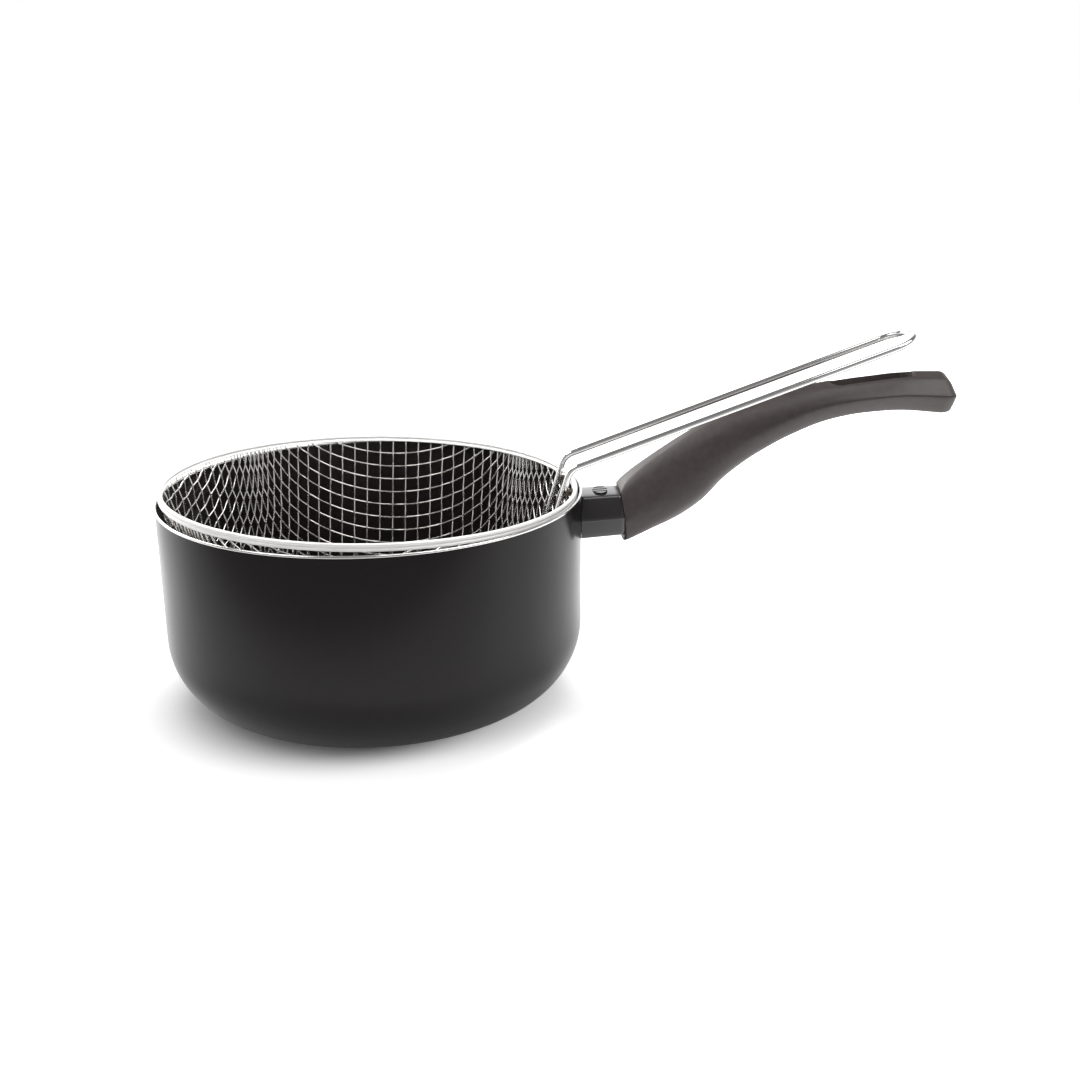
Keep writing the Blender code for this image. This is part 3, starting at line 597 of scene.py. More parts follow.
@dataclass
class Collar:
    """The six-sided glossy guard between the pot and the grip, with a ribbed pad on its top.

    The pad's ribs are given by their two edges, as shares of its half width.
    """

    pot: Pot
    top_z: float = 95.4 * MM
    edge_z: float = 85.0 * MM
    bottom_z: float = 74.3 * MM
    top_width: float = 20.0 * MM
    edge_width: float = 31.6 * MM
    bottom_width: float = 19.0 * MM
    rise: float = 1.0 * MM
    narrowing_share: float = 0.04
    sheet: float = 2.2 * MM
    seam_x: float = 120.5 * MM
    seam_tilt: float = radians(7.0)
    corner_share: float = 0.07
    edge_rounding: tuple = (0.35 * MM, 45.0)
    overrun: float = 5.0 * MM
    seat_gap: float = 0.1 * MM
    steps: int = 12
    pad_x: tuple = (105.6 * MM, 112.6 * MM)
    pad_half_width: float = 6.2 * MM
    pad_height: float = 0.6 * MM
    pad_end_share: float = 0.12
    pad_steps: int = 8
    pad_ribs: tuple = ((-1.0, -0.62), (-0.40, -0.08), (0.14, 0.46), (0.68, 1.0))

    @property
    def start(self) -> float:
        """Where the collar starts, inside the pot's wall."""
        return self.pot.radius - self.overrun

    def seam(self, height: float) -> float:
        """Where the seam with the grip lies at a height."""
        return self.seam_x - (height - self.bottom_z) * tan(self.seam_tilt)

    def top(self, x: float) -> float:
        """Height of the collar's flat top at a distance from the pot's axis."""
        return self.top_z + self.rise * (x - self.start) / (self.seam_x - self.start)

    def section(self, share: float, inset: float, overrun: float, pot_x: float) -> Path:
        """Return one ring of the collar.

        Args:
            share: How far it is on the way from the pot to the seam.
            inset: How far it lies inside the collar's surface.
            overrun: How far the last ring goes past the seam.
            pot_x: Where the first ring lies.

        Returns:
            The ring's points.
        """
        side = self.edge_width / 2.0 - inset
        bottom = self.bottom_width / 2.0 - inset / 2.0
        top = self.top_width / 2.0 - inset / 2.0
        low = self.bottom_z + inset
        high = self.top_z - inset
        outline = [(bottom, low), (side, self.edge_z), (top, high),
                   (-top, high), (-side, self.edge_z), (-bottom, low)]
        scale = 1.0 - self.narrowing_share * share
        ring = []
        for side, height in cut_corners(outline, self.corner_share):
            z = self.edge_z + (height - self.edge_z) * scale + self.rise * share
            x = pot_x + (self.seam(z) + overrun - pot_x) * share
            ring.append(Vector((x, side * scale, z)))
        return ring

    def build(self) -> None:
        """Build the collar, cut to the pot's wall, and its pad, and dress them."""
        pot = self.pot
        solid = skin("handle_collar_gloss", [self.section(k / self.steps, 0.0, 0.0, self.start)
                                             for k in range(self.steps + 1)])
        hollow = skin("collar_hollow", [self.section(share, self.sheet, self.overrun,
                                                     self.start - self.overrun)
                                        for share in (0.0, 1.0)])
        low = self.bottom_z - 2.0 * self.overrun
        high = pot.height + self.overrun
        profile = [(0.0, low), (pot.wall_radius(low) + self.seat_gap, low),
                   (pot.wall_radius(high) + self.seat_gap, high), (0.0, high)]
        carve(solid, [hollow, turn("collar_wall_cutter", profile, pot.steps)])
        round_edges(solid, *self.edge_rounding)
        dress(solid, GLOSS_BLACK, Body.POT, Slot.COLLAR, "handle_collar")
        dress(self.pad(), GLOSS_BLACK, Body.POT, Slot.COLLAR)

    def pad(self) -> Object:
        """Raise a small oval pad on the collar's flat top, split into ribs by narrow grooves.

        Returns:
            The pad's ribs, as one object.
        """
        middle = sum(self.pad_x) / 2.0
        half = (self.pad_x[1] - self.pad_x[0]) / 2.0
        bm = bmesh.new()
        for start, end in self.pad_ribs:
            verts = []
            for along, first, last in ((1.0, start, end), (-1.0, end, start)):
                for k in range(self.pad_steps + 1):
                    side = first + (last - first) * k / self.pad_steps
                    reach = max(self.pad_end_share, sqrt(1.0 - side * side))
                    x = middle + along * half * reach
                    verts.append(bm.verts.new((x, side * self.pad_half_width,
                                               self.top(x) - self.pad_height / 2.0)))
            raised = bmesh.ops.extrude_face_region(bm, geom=[bm.faces.new(verts)])["geom"]
            for vert in raised:
                if isinstance(vert, BMVert):
                    vert.co.z = self.top(vert.co.x) + self.pad_height
        return finish_mesh("handle_collar_pad", bm)


@dataclass
class Grip:
    """The swept grip, lofted through listed stations and cut for its bolt and its slot.

    Each station is a point on the lower and one on the upper outline, as shares of the grip's
    reach and rise, then its half width, the height of its widest edge, the half widths of its top
    and bottom, and how much its corners are cut.
    """

    collar: Collar
    tip_x: float = 276.7 * MM
    foot_z: float = 72.4 * MM
    top_z: float = 148.0 * MM
    width: float = 32.0 * MM
    end_reach: float = 5.5 * MM
    end_undercut: float = 0.75 * MM
    end_lift: float = 1.0 * MM
    end_fall_share: float = 0.80
    end_narrowing_share: float = 0.20
    edge_rounding: tuple = (0.5 * MM, 50.0)
    slot_start: float = 218.0 * MM
    slot_end: float = 259.8 * MM
    slot_width: float = 12.0 * MM
    slot_steps: int = 24
    seam_gap: float = 0.3 * MM
    toe_hook: float = 1.3 * MM
    seam_top_share: float = 0.63
    crown_share: float = 0.50
    bolt_foot: tuple = (111.5 * MM, 83.0 * MM)
    bolt_seat: tuple = (204.0 * MM, 131.6 * MM)
    bore: float = 5.6 * MM
    bore_sides: int = 32
    counterbore: float = 9.2 * MM
    counterbore_sides: int = 48
    station_steps: int = 8
    end_steps: int = 10
    station_shares: tuple = (
        (0.000, 0.000, -0.020, 0.331, 0.95, 0.46, 0.63, 0.60, 0.12),
        (0.075, 0.055, -0.001, 0.388, 0.97, 0.46, 0.60, 0.58, 0.24),
        (0.165, 0.132, 0.060, 0.497, 0.97, 0.46, 0.52, 0.56, 0.31),
        (0.240, 0.235, 0.162, 0.643, 0.96, 0.46, 0.45, 0.54, 0.32),
        (0.300, 0.366, 0.240, 0.731, 0.94, 0.47, 0.42, 0.52, 0.30),
        (0.372, 0.486, 0.333, 0.811, 0.90, 0.48, 0.40, 0.50, 0.24),
        (0.450, 0.583, 0.410, 0.862, 0.88, 0.49, 0.36, 0.50, 0.22),
        (0.509, 0.645, 0.475, 0.906, 0.87, 0.50, 0.32, 0.50, 0.20),
        (0.593, 0.718, 0.573, 0.960, 0.88, 0.50, 0.28, 0.50, 0.16),
        (0.679, 0.763, 0.671, 0.990, 0.92, 0.50, 0.24, 0.50, 0.12),
        (0.764, 0.784, 0.764, 1.008, 0.96, 0.50, 0.24, 0.50, 0.08),
        (0.850, 0.787, 0.850, 1.020, 0.99, 0.50, 0.28, 0.50, 0.08),
        (0.962, 0.762, 0.962, 1.016, 1.00, 0.50, 0.30, 0.50, 0.08),
    )

    def stations(self) -> list[list[float]]:
        """Pass smooth curves through the stations.

        Returns:
            The stations in finer steps.
        """
        rows = self.station_shares
        padded = (rows[0], *rows, rows[-1])
        fine = []
        for k in range(1, len(rows)):
            for step in range(self.station_steps):
                fine.append([spline_between(*values, step / self.station_steps)
                             for values in zip(*padded[k - 1:k + 3])])
        return fine + [list(rows[-1])]

    def section(self, station: list[float]) -> Path:
        """Return one ring of the grip.

        Args:
            station: The ring's station.

        Returns:
            The ring's points.
        """
        low_x, low_z, high_x, high_z, width, edge, top, bottom, cut = station
        start = self.collar.seam_x
        reach = self.tip_x - start
        rise = self.top_z - self.foot_z
        low = upright(start + reach * low_x, self.foot_z + rise * low_z)
        high = upright(start + reach * high_x, self.foot_z + rise * high_z)
        open_share = min(1.0, top / self.seam_top_share)
        shoulder = (1.0 + edge) / 2.0 + (1.0 - edge) / 2.0 * open_share
        crown = max(top, self.crown_share)
        outline = [(-bottom, 0.0), (bottom, 0.0), (1.0, edge), (crown, shoulder),
                   (0.0, 1.0), (-crown, shoulder), (-1.0, edge)]
        ring = []
        for side, up in cut_corners(outline, cut):
            point = low.lerp(high, up)
            point.y = side * width * self.width / 2.0
            ring.append(point)
        return ring

    def end_rings(self, last: Path) -> list[Path]:
        """Close the grip's end: its top rolls down to the widest edge, and below it is upright.

        Args:
            last: The last station's ring.

        Returns:
            The rings past it.
        """
        low = min(point.z for point in last)
        high = max(point.z for point in last)
        edge = low + (high - low) * self.station_shares[-1][5]
        rings = []
        for k in range(1, self.end_steps + 1):
            angle = pi / 2.0 * k / self.end_steps
            inward = 1.0 - cos(angle)
            narrow = 1.0 - self.end_narrowing_share * inward
            ring = []
            for point in last:
                above = max(0.0, point.z - edge)
                below = max(0.0, edge - point.z) / (edge - low)
                forward = self.end_reach - self.end_undercut * below
                lift = self.end_lift * below - self.end_fall_share * above
                ring.append(Vector((point.x + forward * sin(angle), point.y * narrow,
                                    point.z + lift * inward)))
            rings.append(ring)
        return rings

    def cutters(self) -> list[Object]:
        """Make the solids of the hanging slot, the bolt's bore and its counterbore.

        Returns:
            The three cutters.
        """
        half = self.slot_width / 2.0
        plan = arc((self.slot_end - half, 0.0), half, -pi / 2.0, pi / 2.0, self.slot_steps)
        plan += arc((self.slot_start + half, 0.0), half, pi / 2.0, 1.5 * pi, self.slot_steps)
        made = [skin("slot_cutter", [[Vector((x, y, z)) for x, y in plan]
                                     for z in (self.foot_z, self.top_z + self.end_reach)])]
        foot, seat = upright(*self.bolt_foot), upright(*self.bolt_seat)
        along = (seat - foot).normalized()
        far = seat + along * (self.slot_end - self.slot_start)
        for name, start, end, width, sides in (
                ("bore_cutter", foot, seat + along * self.end_reach, self.bore, self.bore_sides),
                ("counterbore_cutter", seat, far, self.counterbore, self.counterbore_sides)):
            axis = end - start
            turned = axis.to_track_quat("Z", "Y").to_matrix().to_4x4()
            bm = bmesh.new()
            bmesh.ops.create_cone(bm, cap_ends=True, segments=sides, radius1=width / 2.0,
                                  radius2=width / 2.0, depth=axis.length,
                                  matrix=Matrix.Translation(start + axis / 2.0) @ turned)
            made.append(finish_mesh(name, bm))
        return made

    def build(self) -> None:
        """Loft the grip, cut it and dress it."""
        rings = [self.section(station) for station in self.stations()]
        rings += self.end_rings(rings[-1])
        under = self.collar.bottom_z
        for point in rings[0]:
            point.x = self.collar.seam(max(point.z, under))
            point.x -= self.toe_hook * max(0.0, under - point.z) / (under - self.foot_z)
        gap = upright(self.seam_gap, 0.0)
        grip = skin("handle_grip_moulded", [[point + gap for point in ring] for ring in rings])
        carve(grip, self.cutters())
        round_edges(grip, *self.edge_rounding)
        dress(grip, MATTE_BLACK, Body.POT, Slot.GRIP, "handle_grip")


# Basket

@dataclass
class Bowl:
    """The drawn shape of the net: a flat bottom, a round corner and a leaning wall.

    A place on it is a length along its meridian from the bottom's middle, and an angle.
    """

    mouth: float = 96.9 * MM
    depth: float = 97.7 * MM
    above_hem_edge: float = 1.4 * MM
    corner: float = 48.4 * MM
    lean: float = radians(11.4)

    def __post_init__(self) -> None:
        """Work out the lengths of the bottom, the corner and the wall."""
        self.turned = pi / 2.0 - self.lean
        self.corner_top = self.corner * (1.0 - cos(self.turned))
        wall_height = self.depth + self.above_hem_edge - self.corner_top
        self.corner_out = self.mouth - wall_height * tan(self.lean)
        self.flat = self.corner_out - self.corner * sin(self.turned)
        self.bend = self.corner * self.turned
        self.length = self.flat + self.bend + wall_height / cos(self.lean)

    def meridian(self, s: float) -> tuple[float, float, float]:
        """Follow the bowl's section.

        Args:
            s: A length along it from the bottom's middle.

        Returns:
            The radius, the height above the bottom and the slope's angle there.
        """
        if s <= self.flat:
            return s, 0.0, 0.0
        if s <= self.flat + self.bend:
            turned = (s - self.flat) / self.corner
            return (self.flat + self.corner * sin(turned), self.corner * (1.0 - cos(turned)),
                    turned)
        up = s - self.flat - self.bend
        return (self.corner_out + up * sin(self.lean), self.corner_top + up * cos(self.lean),
                self.turned)

    def point(self, s: float, angle: float) -> Vector:
        """Return the surface's point."""
        radius, height, _ = self.meridian(s)
        return Vector((radius * cos(angle), radius * sin(angle), height - self.depth))

    def normal(self, s: float, angle: float) -> Vector:
        """Return the surface's outward normal."""
        slope = self.meridian(s)[2]
        return Vector((sin(slope) * cos(angle), sin(slope) * sin(angle), -cos(slope)))


@dataclass
class Net:
    """A square woven net laid over the bowl: its wires bend but don't stretch."""

    bowl: Bowl
    pitch: float = 6.8 * MM
    wire: float = 0.75 * MM
    turn: float = radians(-6.0)
    samples: int = 4
    crushed_length: float = 4.0 * MM
    crushed_share: float = 0.25
    trim: float = 1.2 * MM
    spare_knots: int = 3
    tries: int = 40
    straight_tries: int = 5
    nudge_share: float = 1e-4
    close_share: float = 1e-6
    swing_limit: float = 0.2

    def knot(self, first: Vector, second: Vector, s: float, angle: float) -> Place:
        """Find the place one pitch from two knots, by Newton's method.

        Args:
            first: One neighbouring knot.
            second: The other one.
            s: A meridian length to start from.
            angle: An angle to start from.

        Returns:
            The knot's meridian length and angle.
        """
        nudge = self.pitch * self.nudge_share
        swing = nudge / self.bowl.length
        for _ in range(self.tries):
            here = self.bowl.point(s, angle)
            near, far = (here - first).length, (here - second).length
            miss = Vector((near, far)) - Vector((self.pitch, self.pitch))
            if max(abs(miss.x), abs(miss.y)) < self.pitch * self.close_share:
                break
            up = self.bowl.point(s + nudge, angle)
            aside = self.bowl.point(s, angle + swing)
            slopes = Matrix((((up - first).length - near, (aside - first).length - near),
                             ((up - second).length - far, (aside - second).length - far)))
            step = slopes.inverted() @ miss
            s -= max(-self.pitch / 2.0, min(self.pitch / 2.0, step.x * nudge))
            angle -= max(-self.swing_limit, min(self.swing_limit, step.y * swing))
        return s, angle

    def knots(self) -> dict[tuple[int, int], Place]:
        """Lay the net over a quarter of the bowl, out from two straight meridians, four times.

        Returns:
            The knots' places by their numbers along the net's two directions.
        """
        bowl = self.bowl
        count = int(bowl.length / self.pitch) + self.spare_knots
        grid = {(0, 0): (0.0, 0.0)}
        s = 0.0
        for i in range(1, count + 1):
            start = bowl.point(s, 0.0)
            s += self.pitch
            for _ in range(self.straight_tries):
                s += self.pitch - (bowl.point(s, 0.0) - start).length
            grid[(i, 0)] = (s, 0.0)
            grid[(0, i)] = (s, pi / 2.0)
        for i in range(1, count + 1):
            for j in range(i, count + 1):
                below, beside, back = grid[(i - 1, j)], grid[(i, j - 1)], grid[(i - 1, j - 1)]
                first, second = bowl.point(*below), bowl.point(*beside)
                ahead = first + second - bowl.point(*back)
                s_new, angle = self.knot(first, second, below[0] + beside[0] - back[0],
                                         atan2(ahead.y, ahead.x))
                grid[(i, j)] = (s_new, angle)
                grid[(j, i)] = (s_new, pi / 2.0 - angle)
        whole = {}
        for (i, j), (s, angle) in grid.items():
            for k, key in enumerate([(i, j), (-j, i), (-i, -j), (j, -i)]):
                whole[key] = (s, angle + k * pi / 2.0 + self.turn)
        return whole

    def wires(self, across: bool) -> list[Path]:
        """Return the centre lines of one of the two sets of wires.

        Args:
            across: Whether the set runs along the net's second direction.

        Returns:
            One list of points for each wire.
        """
        knots = self.knots()
        reach = max(key[0] for key in knots)
        lines = []
        for fixed in range(-reach, reach + 1):
            keys = [(fixed, k) if across else (k, fixed) for k in range(-reach, reach + 1)]
            inside = [n for n, key in enumerate(keys) if knots[key][0] < self.bowl.length]
            if not inside:
                continue
            line = self.woven_line([knots[key] for key in keys],
                                   [sum(key) + int(across) for key in keys],
                                   inside[0] - 1, inside[-1] + 1)
            if len(line) > self.samples:
                lines.append(line)
        return lines

    def woven_line(self, places: list[Place], counts: list[int], first: int,
                   last: int) -> Path:
        """Thread one wire over and under through its knots, and end it at the bowl's mouth.

        Args:
            places: The wire's knots as meridian lengths and angles.
            counts: Each knot's number, whose oddness says which side the wire passes.
            first: The first knot, just outside the mouth.
            last: The last knot, just outside the mouth.

        Returns:
            The wire's centre line.
        """
        points = [self.bowl.point(*place) for place in places]
        normals = [self.bowl.normal(*place) for place in places]
        line = []
        for k in range(first, last):
            around = [points[max(first, min(last, k + n))] for n in (-1, 0, 1, 2)]
            for step in range(self.samples):
                t = step / self.samples
                s = places[k][0] + (places[k + 1][0] - places[k][0]) * t
                if s > self.bowl.length - self.trim:
                    continue
                centre = Vector([spline_between(*values, t) for values in zip(*around)])
                outward = normals[k].lerp(normals[k + 1], t).normalized()
                side = cos(pi * t) * (1.0 if counts[k] % 2 else -1.0)
                line.append(centre + outward * side * self.weave_height(s))
        return line

    def weave_height(self, s: float) -> float:
        """How far a wire leaves the middle surface, which is less where the hem crushes it."""
        left = min(1.0, max(0.0, (self.bowl.length - s) / self.crushed_length))
        return self.wire / 2.0 * (self.crushed_share + (1.0 - self.crushed_share) * left)


@dataclass
class Basket:
    """The basket: its net, the folded hem with its ring wire, and the handle.

    The hem's shoulder points are in millimetres from its neck, outwards and up. Each weld bead is
    a drop below the hem and a share of the weld's size.
    """

    bowl: Bowl
    net: Net
    tilt: float = radians(1.6)
    forward_tilt: float = radians(-0.3)
    node_height: float = 4.6 * MM
    hem_low: float = -0.70 * MM
    hem_high: float = 2.65 * MM
    hem_sheet: float = 0.35 * MM
    hem_neck: float = 0.48 * MM
    hem_shoulder: tuple = ((0.03, -0.26), (0.38, -0.50), (0.50, -0.76))
    hem_flare: float = 0.58 * MM
    hem_steps: tuple = (22, 12, 5)
    hem_smooth_angle: float = 40.0
    ring_wire: float = 1.2 * MM
    ring_gap: float = 0.05 * MM
    handle_wire: float = 3.1 * MM
    strand_spacing: float = 26.45 * MM
    bend: tuple = (93.6 * MM, 110.0 * MM)
    bend_radius: float = 8.0 * MM
    bend_steps: int = 12
    strand_rise: float = radians(19.05)
    riser_lean: float = radians(72.3)
    riser_foot: float = 66.0 * MM
    loop_tip: float = 258.0 * MM
    loop_steps: int = 40
    steps: int = 704
    ring_steps: tuple = (12, 176)
    net_resolution: int = 2
    handle_resolution: int = 8
    crimps: int = 88
    crimp_depth: float = 0.10 * MM
    weld_size: tuple = (2.5 * MM, 0.9 * MM, 0.9 * MM)
    weld_beads: tuple = ((1.9 * MM, 1.0), (3.4 * MM, 0.7))
    weld_divisions: int = 4
    weld_lumps: float = 2.3
    weld_roughness: float = 0.22
    weld_variety: float = 900.0

    @property
    def bead(self) -> float:
        """Outside radius of the hem's bead round the ring wire."""
        return self.ring_wire / 2.0 + self.ring_gap + self.hem_sheet

    def ring(self) -> Object:
        """Spin the round wire that stiffens the hem from inside its bead.

        Returns:
            The wire, in the basket's own frame.
        """
        across, around = self.ring_steps
        centre = (self.bowl.mouth, self.hem_high - self.bead)
        profile = arc(centre, self.ring_wire / 2.0, 0.0, tau, across)[:-1]
        return turn("basket_ring_round", profile, around, closed=True)

    def place(self, obj: Object) -> Object:
        """Move a piece from the basket's own frame to where the basket stands.

        Args:
            obj: The piece.

        Returns:
            The piece.
        """
        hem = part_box("basket_hem")
        middle = (hem[0].z + hem[1].z) / 2.0 - self.node_height / 2.0
        lean = Matrix.Rotation(self.tilt, 4, "Y") @ Matrix.Rotation(self.forward_tilt, 4, "X")
        obj.data.transform(Matrix.Translation((0.0, 0.0, middle)) @ lean)
        return obj

    def hem(self) -> Object:
        """Spin the hem's section: a bead round the ring wire, a crimped neck and a skirt.

        Returns:
            The hem, in the basket's own frame.
        """
        bead = self.bead
        mid = self.bowl.mouth
        centre = (mid, self.hem_high - bead)
        opening = acos(self.hem_neck / bead)
        inner = acos((self.hem_neck - self.hem_sheet) / (bead - self.hem_sheet))
        lip = self.hem_sheet / 2.0
        foot = self.hem_neck + self.hem_flare - lip
        low = self.hem_low + lip
        groove = centre[1] - bead * sin(opening)
        shoulder = [(self.hem_neck + aside * MM, groove + down * MM)
                    for aside, down in self.hem_shoulder]
        bead_steps, inner_steps, lip_steps = self.hem_steps
        profile = arc(centre, bead, -opening, pi + opening, bead_steps)
        profile += [(mid - aside, z) for aside, z in shoulder]
        profile += arc((mid - foot, low), lip, pi, tau, lip_steps)
        profile += arc(centre, bead - self.hem_sheet, pi + inner, -inner, inner_steps)
        profile += arc((mid + foot, low), lip, pi, tau, lip_steps)
        profile += [(mid + aside, z) for aside, z in reversed(shoulder)]
        hem = turn("basket_hem_folded", profile, self.steps, closed=True,
                   smooth_angle=self.hem_smooth_angle)
        self.crimp(hem, groove)
        return hem

    def crimp(self, hem: Object, neck_z: float) -> None:
        """Press the hem's skirt against the wires behind it: a shallow rib over each wire.

        Args:
            hem: The turned hem, in the basket's own frame.
            neck_z: The height of the neck between the bead and the skirt.
        """
        for vert in hem.data.vertices:
            if vert.co.z >= neck_z:
                continue
            plan = Vector((vert.co.x, vert.co.y))
            depth = (neck_z - vert.co.z) / (neck_z - self.hem_low)
            wave = 0.5 + 0.5 * cos(self.crimps * atan2(plan.y, plan.x))
            side = 1.0 if plan.length > self.bowl.mouth else -1.0
            plan = plan.normalized() * (plan.length + side * self.crimp_depth * depth * wave)
            vert.co = (plan.x, plan.y, vert.co.z)

    def handle_path(self) -> Path:
        """Follow the handle's wire from one riser's foot, round the loop, to the other's.

        Returns:
            The wire's centre line.
        """
        half = self.strand_spacing / 2.0
        bend = upright(*self.bend)
        down = upright(-cos(self.riser_lean), -sin(self.riser_lean))
        out = upright(cos(self.strand_rise), sin(self.strand_rise))
        foot = bend + down * ((self.bend[1] - self.riser_foot) / sin(self.riser_lean))
        half_turn = (self.riser_lean - self.strand_rise) / 2.0
        centre = bend + (out + down).normalized() * (self.bend_radius / cos(half_turn))
        first = bend + down * (self.bend_radius * tan(half_turn)) - centre
        side = [foot]
        for k in range(self.bend_steps + 1):
            angle = 2.0 * half_turn * k / self.bend_steps
            side.append(centre + Matrix.Rotation(angle, 4, "Y") @ first)
        loop = bend + out * ((self.loop_tip - self.bend[0]) / cos(self.strand_rise) - half)
        aside = Vector((0.0, half, 0.0))
        return ([point - aside for point in side]
                + [loop + out * along + Vector((0.0, sideways, 0.0)) for along, sideways
                   in arc((0.0, 0.0), half, -pi / 2.0, pi / 2.0, self.loop_steps)]
                + [point + aside for point in reversed(side)])

    def welds(self) -> Object:
        """Lay the rough weld beads that join the handle's risers to the hem's inner side.

        Returns:
            The beads, as one object.
        """
        bm = bmesh.new()
        inner = self.bowl.mouth - self.bead
        hem_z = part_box("basket_hem")[0].z + self.node_height / 2.0
        for side in (-1.0, 1.0):
            y = side * self.strand_spacing / 2.0
            hem_x = sqrt(inner ** 2 - y ** 2)
            for drop, size in self.weld_beads:
                height = hem_z - drop
                riser_x = self.bend[0] - (self.bend[1] - height) / tan(self.riser_lean)
                middle = Vector(((riser_x + self.handle_wire / 2.0 + hem_x) / 2.0, y, height))
                lump = bmesh.ops.create_icosphere(bm, subdivisions=self.weld_divisions,
                                                  radius=1.0)["verts"]
                for vert in lump:
                    rough = noise.noise(vert.co * self.weld_lumps + middle * self.weld_variety)
                    vert.co = vert.co * (1.0 + self.weld_roughness * rough)
                stretch = Matrix.Diagonal((*(Vector(self.weld_size) * size), 1.0))
                bmesh.ops.transform(bm, matrix=Matrix.Translation(middle) @ stretch, verts=lump)
        return finish_mesh("basket_weld_beads", bm)

    def build(self) -> None:
        """Build the basket's pieces and dress them."""
        for name, across, nodes in (("basket_net_warp", False, ["basket_mesh"]),
                                    ("basket_net_weft", True, [])):
            wires = tubes(name, self.net.wires(across), self.net.wire / 2.0, self.net_resolution)
            dress(self.place(wires), TINNED, Body.BASKET, Slot.WIRE, *nodes)
        dress(self.place(self.hem()), STRIP, Body.BASKET, Slot.WIRE, "basket_hem")
        dress(self.place(self.ring()), PLATED, Body.BASKET, Slot.WIRE, "basket_ring_wire")
        handle = tubes("basket_handle_wire", [self.handle_path()], self.handle_wire / 2.0,
                       self.handle_resolution)
        dress(handle, BRIGHT, Body.BASKET, Slot.WIRE, "basket_handle")
        dress(self.welds(), WELD, Body.BASKET, Slot.WIRE)


# Staging

@dataclass
class PhotoCamera:
    """The camera at the photograph's viewing angle, fitted to the rim, the base and the hem."""

    azimuth: float = 2.0
    elevation: float = 15.7532
    distance: float = 750.0 * MM
    aim_height: float = 98.8022 * MM
    yaw: float = 6.3481
    pitch: float = -1.9029
    roll: float = 0.8463
    focal_px: float = 1576.80
    frame_px: float = 1080.0
    sensor: float = 36.0
    clip_start: float = 0.01

    def build(self) -> None:
        """Create the camera and make it the scene's."""
        elevation = radians(self.elevation)
        forward = Vector((0.0, cos(elevation), -sin(elevation)))
        right = Vector((1.0, 0.0, 0.0))
        up = right.cross(forward)
        place = -forward * self.distance + upright(0.0, self.aim_height)
        yaw = Matrix.Rotation(-radians(self.yaw), 3, "Z")
        forward, right, up = yaw @ forward, yaw @ right, yaw @ up
        pitch = Matrix.Rotation(radians(self.pitch), 3, right)
        forward, up = pitch @ forward, pitch @ up
        roll = Matrix.Rotation(radians(self.roll), 3, forward)
        right, up = roll @ right, roll @ up
        around = Matrix.Rotation(radians(self.azimuth), 3, "Z")
        axes = Matrix((around @ right, around @ up, -(around @ forward))).transposed()
        data = bpy.data.cameras.new("photo_camera")
        data.sensor_width = self.sensor
        data.lens = self.focal_px / self.frame_px * self.sensor
        data.clip_start = self.clip_start
        camera = add_object("photo_camera", data)
        camera.matrix_world = Matrix.Translation(around @ place) @ axes.to_4x4()
        bpy.context.scene.camera = camera


@dataclass(frozen=True)
class Lamp:
    """A square soft lamp, mirrored in gloss alone or else lighting everything but gloss."""

    name: str
    place: tuple
    target: tuple
    size: float
    power: float
    mirrored: bool

    def build(self) -> None:
        """Hang the lamp and aim it."""
        data = bpy.data.lights.new(self.name, "AREA")
        data.size = self.size
        data.energy = self.power
        lamp = add_object(self.name, data)
        lamp.visible_glossy = self.mirrored
        lamp.visible_diffuse = not self.mirrored
        lamp.visible_camera = False
        lamp.location = self.place
        aim = Vector(self.target) - Vector(self.place)
        lamp.rotation_mode = "QUATERNION"
        lamp.rotation_quaternion = aim.to_track_quat("-Z", "Y")


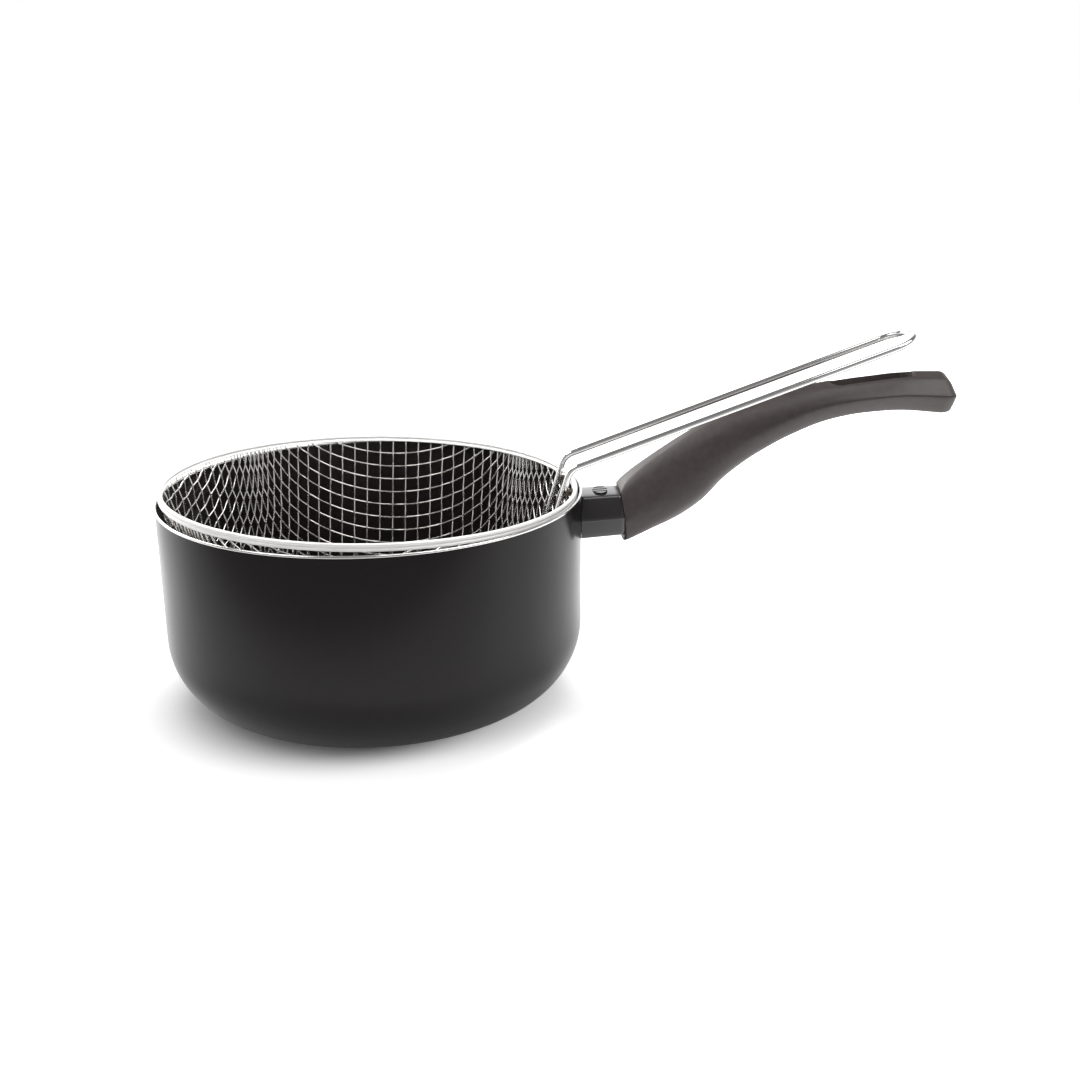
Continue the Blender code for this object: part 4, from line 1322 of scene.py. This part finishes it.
@dataclass
class Studio:
    """A white floor and backdrop, soft lamps, and a dim ceiling towards the camera.

    Each fade is where it starts and ends, and its levels there.
    """

    floor_size: float = 12.0
    floor_gloss: tuple = (0.6, 0.2)
    floor_seen: tuple = (0.90, 0.90, 0.905)
    floor_lighting: tuple = (0.88, 0.88, 0.885)
    # Painted shade: for all but camera rays the floor's colour turns darker towards the camera,
    # standing for the shadow in front of the object that the pot's side mirrors.
    painted_front_shade: tuple = (0.34, 0.34, 0.34)
    painted_shade_side: tuple = (-0.37, -0.93, 0.0)
    painted_shade_fade: tuple = (0.16, 0.38, 1.0, 0.0)
    # Painted shade: a dark patch on the floor behind to the right, which the handle's strand
    # mirrors as a dark line along its lower edge.
    strand_shade_centre: tuple = (0.42, 0.40, 0.0)
    strand_shade_fade: tuple = (0.12, 0.30, 0.25, 1.0)
    # Painted reflection: the floor glows white for gloss alone, nowhere near this centre by the
    # object and less towards the camera, so reflections keep a painted shadow there.
    mirrored_centre: tuple = (-0.040, -0.015, 0.0)
    mirrored_fade: tuple = (0.13, 0.27, 0.0, 1.0)
    mirrored_side_fade: tuple = (0.02, 0.16, 0.40, 0.0)
    # Partly real, partly painted shadow: the camera sees the floor's real diffuse shading plus a
    # white glow that is weakest round this centre, set off to the object's front left.
    shade_centre: tuple = (-0.025, -0.015, 0.0)
    near_fade: tuple = (0.058, 0.090, 0.02, 0.36)
    far_fade: tuple = (0.16, 0.38, 0.0, 0.7)
    around_level: float = 0.95
    ceiling_level: float = 0.20
    ceiling_fade: tuple = (0.22, 0.60, 1.0, 0.0)
    back_fade: tuple = (-0.45, 0.55, 0.45, 1.5)
    lamps: tuple = (
        Lamp("top_softbox", (0.45, 0.60, 1.35), (0.0, 0.0, 0.08), 0.6, 9.0, False),
        Lamp("front_fill", (-0.35, -0.9, 1.5), (0.0, 0.0, 0.08), 0.9, 4.0, False),
        Lamp("left_gleam", (-0.77, -0.05, 1.35), (-0.77, -0.05, 0.0), 0.7, 6.0, True),
        Lamp("middle_gleam", (0.33, -0.10, 1.35), (0.33, -0.10, 0.0), 0.6, 3.0, True),
        Lamp("right_gleam", (0.98, -0.30, 1.35), (0.98, -0.30, 0.0), 1.0, 12.0, True),
        Lamp("hem_fill", (0.0, -0.02, 0.24), (0.0, 0.097, 0.10), 0.12, 0.42, False),
        Lamp("shoulder_gleam", (-0.57, 0.79, 0.65), (0.14, -0.01, 0.11), 0.7, 11.0, True),
    )

    def floor(self) -> None:
        """Lay the floor and stage it: the camera sees it glow to white away from the object."""
        bm = bmesh.new()
        bmesh.ops.create_grid(bm, x_segments=1, y_segments=1, size=self.floor_size / 2.0)
        floor = finish_mesh("studio_floor", bm)
        material, g = new_material("floor_white")
        path = g.node("LightPath").outputs
        side = g.join("VectorMath", "DOT_PRODUCT", g.place(), self.painted_shade_side)
        # Painted shade: this share is low towards the camera and round a patch behind to the
        # right, where the floor takes the darker colour.
        dark = g.join("Math", "MINIMUM", g.fade(side, self.painted_shade_fade),
                      g.fade(g.distance(self.strand_shade_centre), self.strand_shade_fade))
        # Painted reflection glow, seen in gloss alone; where it is missing, near the object and
        # to its front left, the reflections show painted shadow.
        painted_reflection_glow = g.join("Math", "MULTIPLY", g.fade(side, self.mirrored_side_fade),
                     g.fade(g.distance(self.mirrored_centre), self.mirrored_fade))
        roughness, specular = self.floor_gloss
        g.set(g.shader, Roughness=roughness, Specular_IOR_Level=specular,
              Base_Color=g.blend(dark, self.painted_front_shade, self.floor_lighting),
              Emission_Color=WHITE,
              Emission_Strength=g.join("Math", "MULTIPLY", painted_reflection_glow, path["Is Glossy Ray"]))
        # Partly painted shadow: the glow grows away from the shade centre, so the floor keeps its
        # real shadow only round it.
        away = g.distance(self.shade_centre)
        glow = g.node("Emission", Color=WHITE, Strength=g.join(
            "Math", "ADD", g.fade(away, self.near_fade), g.fade(away, self.far_fade)))
        seen = g.node("BsdfDiffuse", Color=(*self.floor_seen, 1.0))
        both = g.join("AddShader", "", seen.outputs["BSDF"], glow.outputs["Emission"])
        pick = g.join("MixShader", "", path["Is Camera Ray"], g.shader.outputs["BSDF"], both)
        g.set(g.tree.nodes["Material Output"], Surface=pick)
        floor.data.materials.append(material)

    def world(self) -> None:
        """White behind the object and where the camera looks, dimmer in front and above."""
        world = bpy.data.worlds.new("studio")
        bpy.context.scene.world = world
        world.use_nodes = True
        g = Graph(world.node_tree)
        direction = g.node("TexCoord").outputs["Generated"]
        split = g.node("SeparateXYZ", Vector=direction).outputs
        mirrored = g.node("Mix", Factor=g.fade(split["Z"], self.ceiling_fade),
                          A=self.ceiling_level, B=g.fade(split["Y"], self.back_fade))
        path = g.node("LightPath").outputs
        level = g.node("Mix", Factor=path["Is Glossy Ray"], A=self.around_level,
                       B=mirrored.outputs["Result"])
        g.set(g.shader, Color=WHITE, Strength=g.join("Math", "MAXIMUM", path["Is Camera Ray"],
                                                     level.outputs["Result"]))

    def build(self) -> None:
        """Set up the floor, the world and the lamps."""
        self.floor()
        self.world()
        for lamp in self.lamps:
            lamp.build()


def main() -> None:
    """Build the object, then its staging."""
    logging.basicConfig(level=logging.INFO, format="%(name)s: %(message)s")
    pot = Pot()
    collar = Collar(pot)
    bowl = Bowl()
    for part in (pot, collar, Grip(collar), Basket(bowl, Net(bowl))):
        part.build()
    for node in ("handle_bracket", "grip_bolt", "bolt_washer"):
        paint_node(node, PLATED)
    PhotoCamera().build()
    Studio().build()
    bpy.context.scene.view_settings.view_transform = "Standard"


if __name__ == "__main__":
    main()
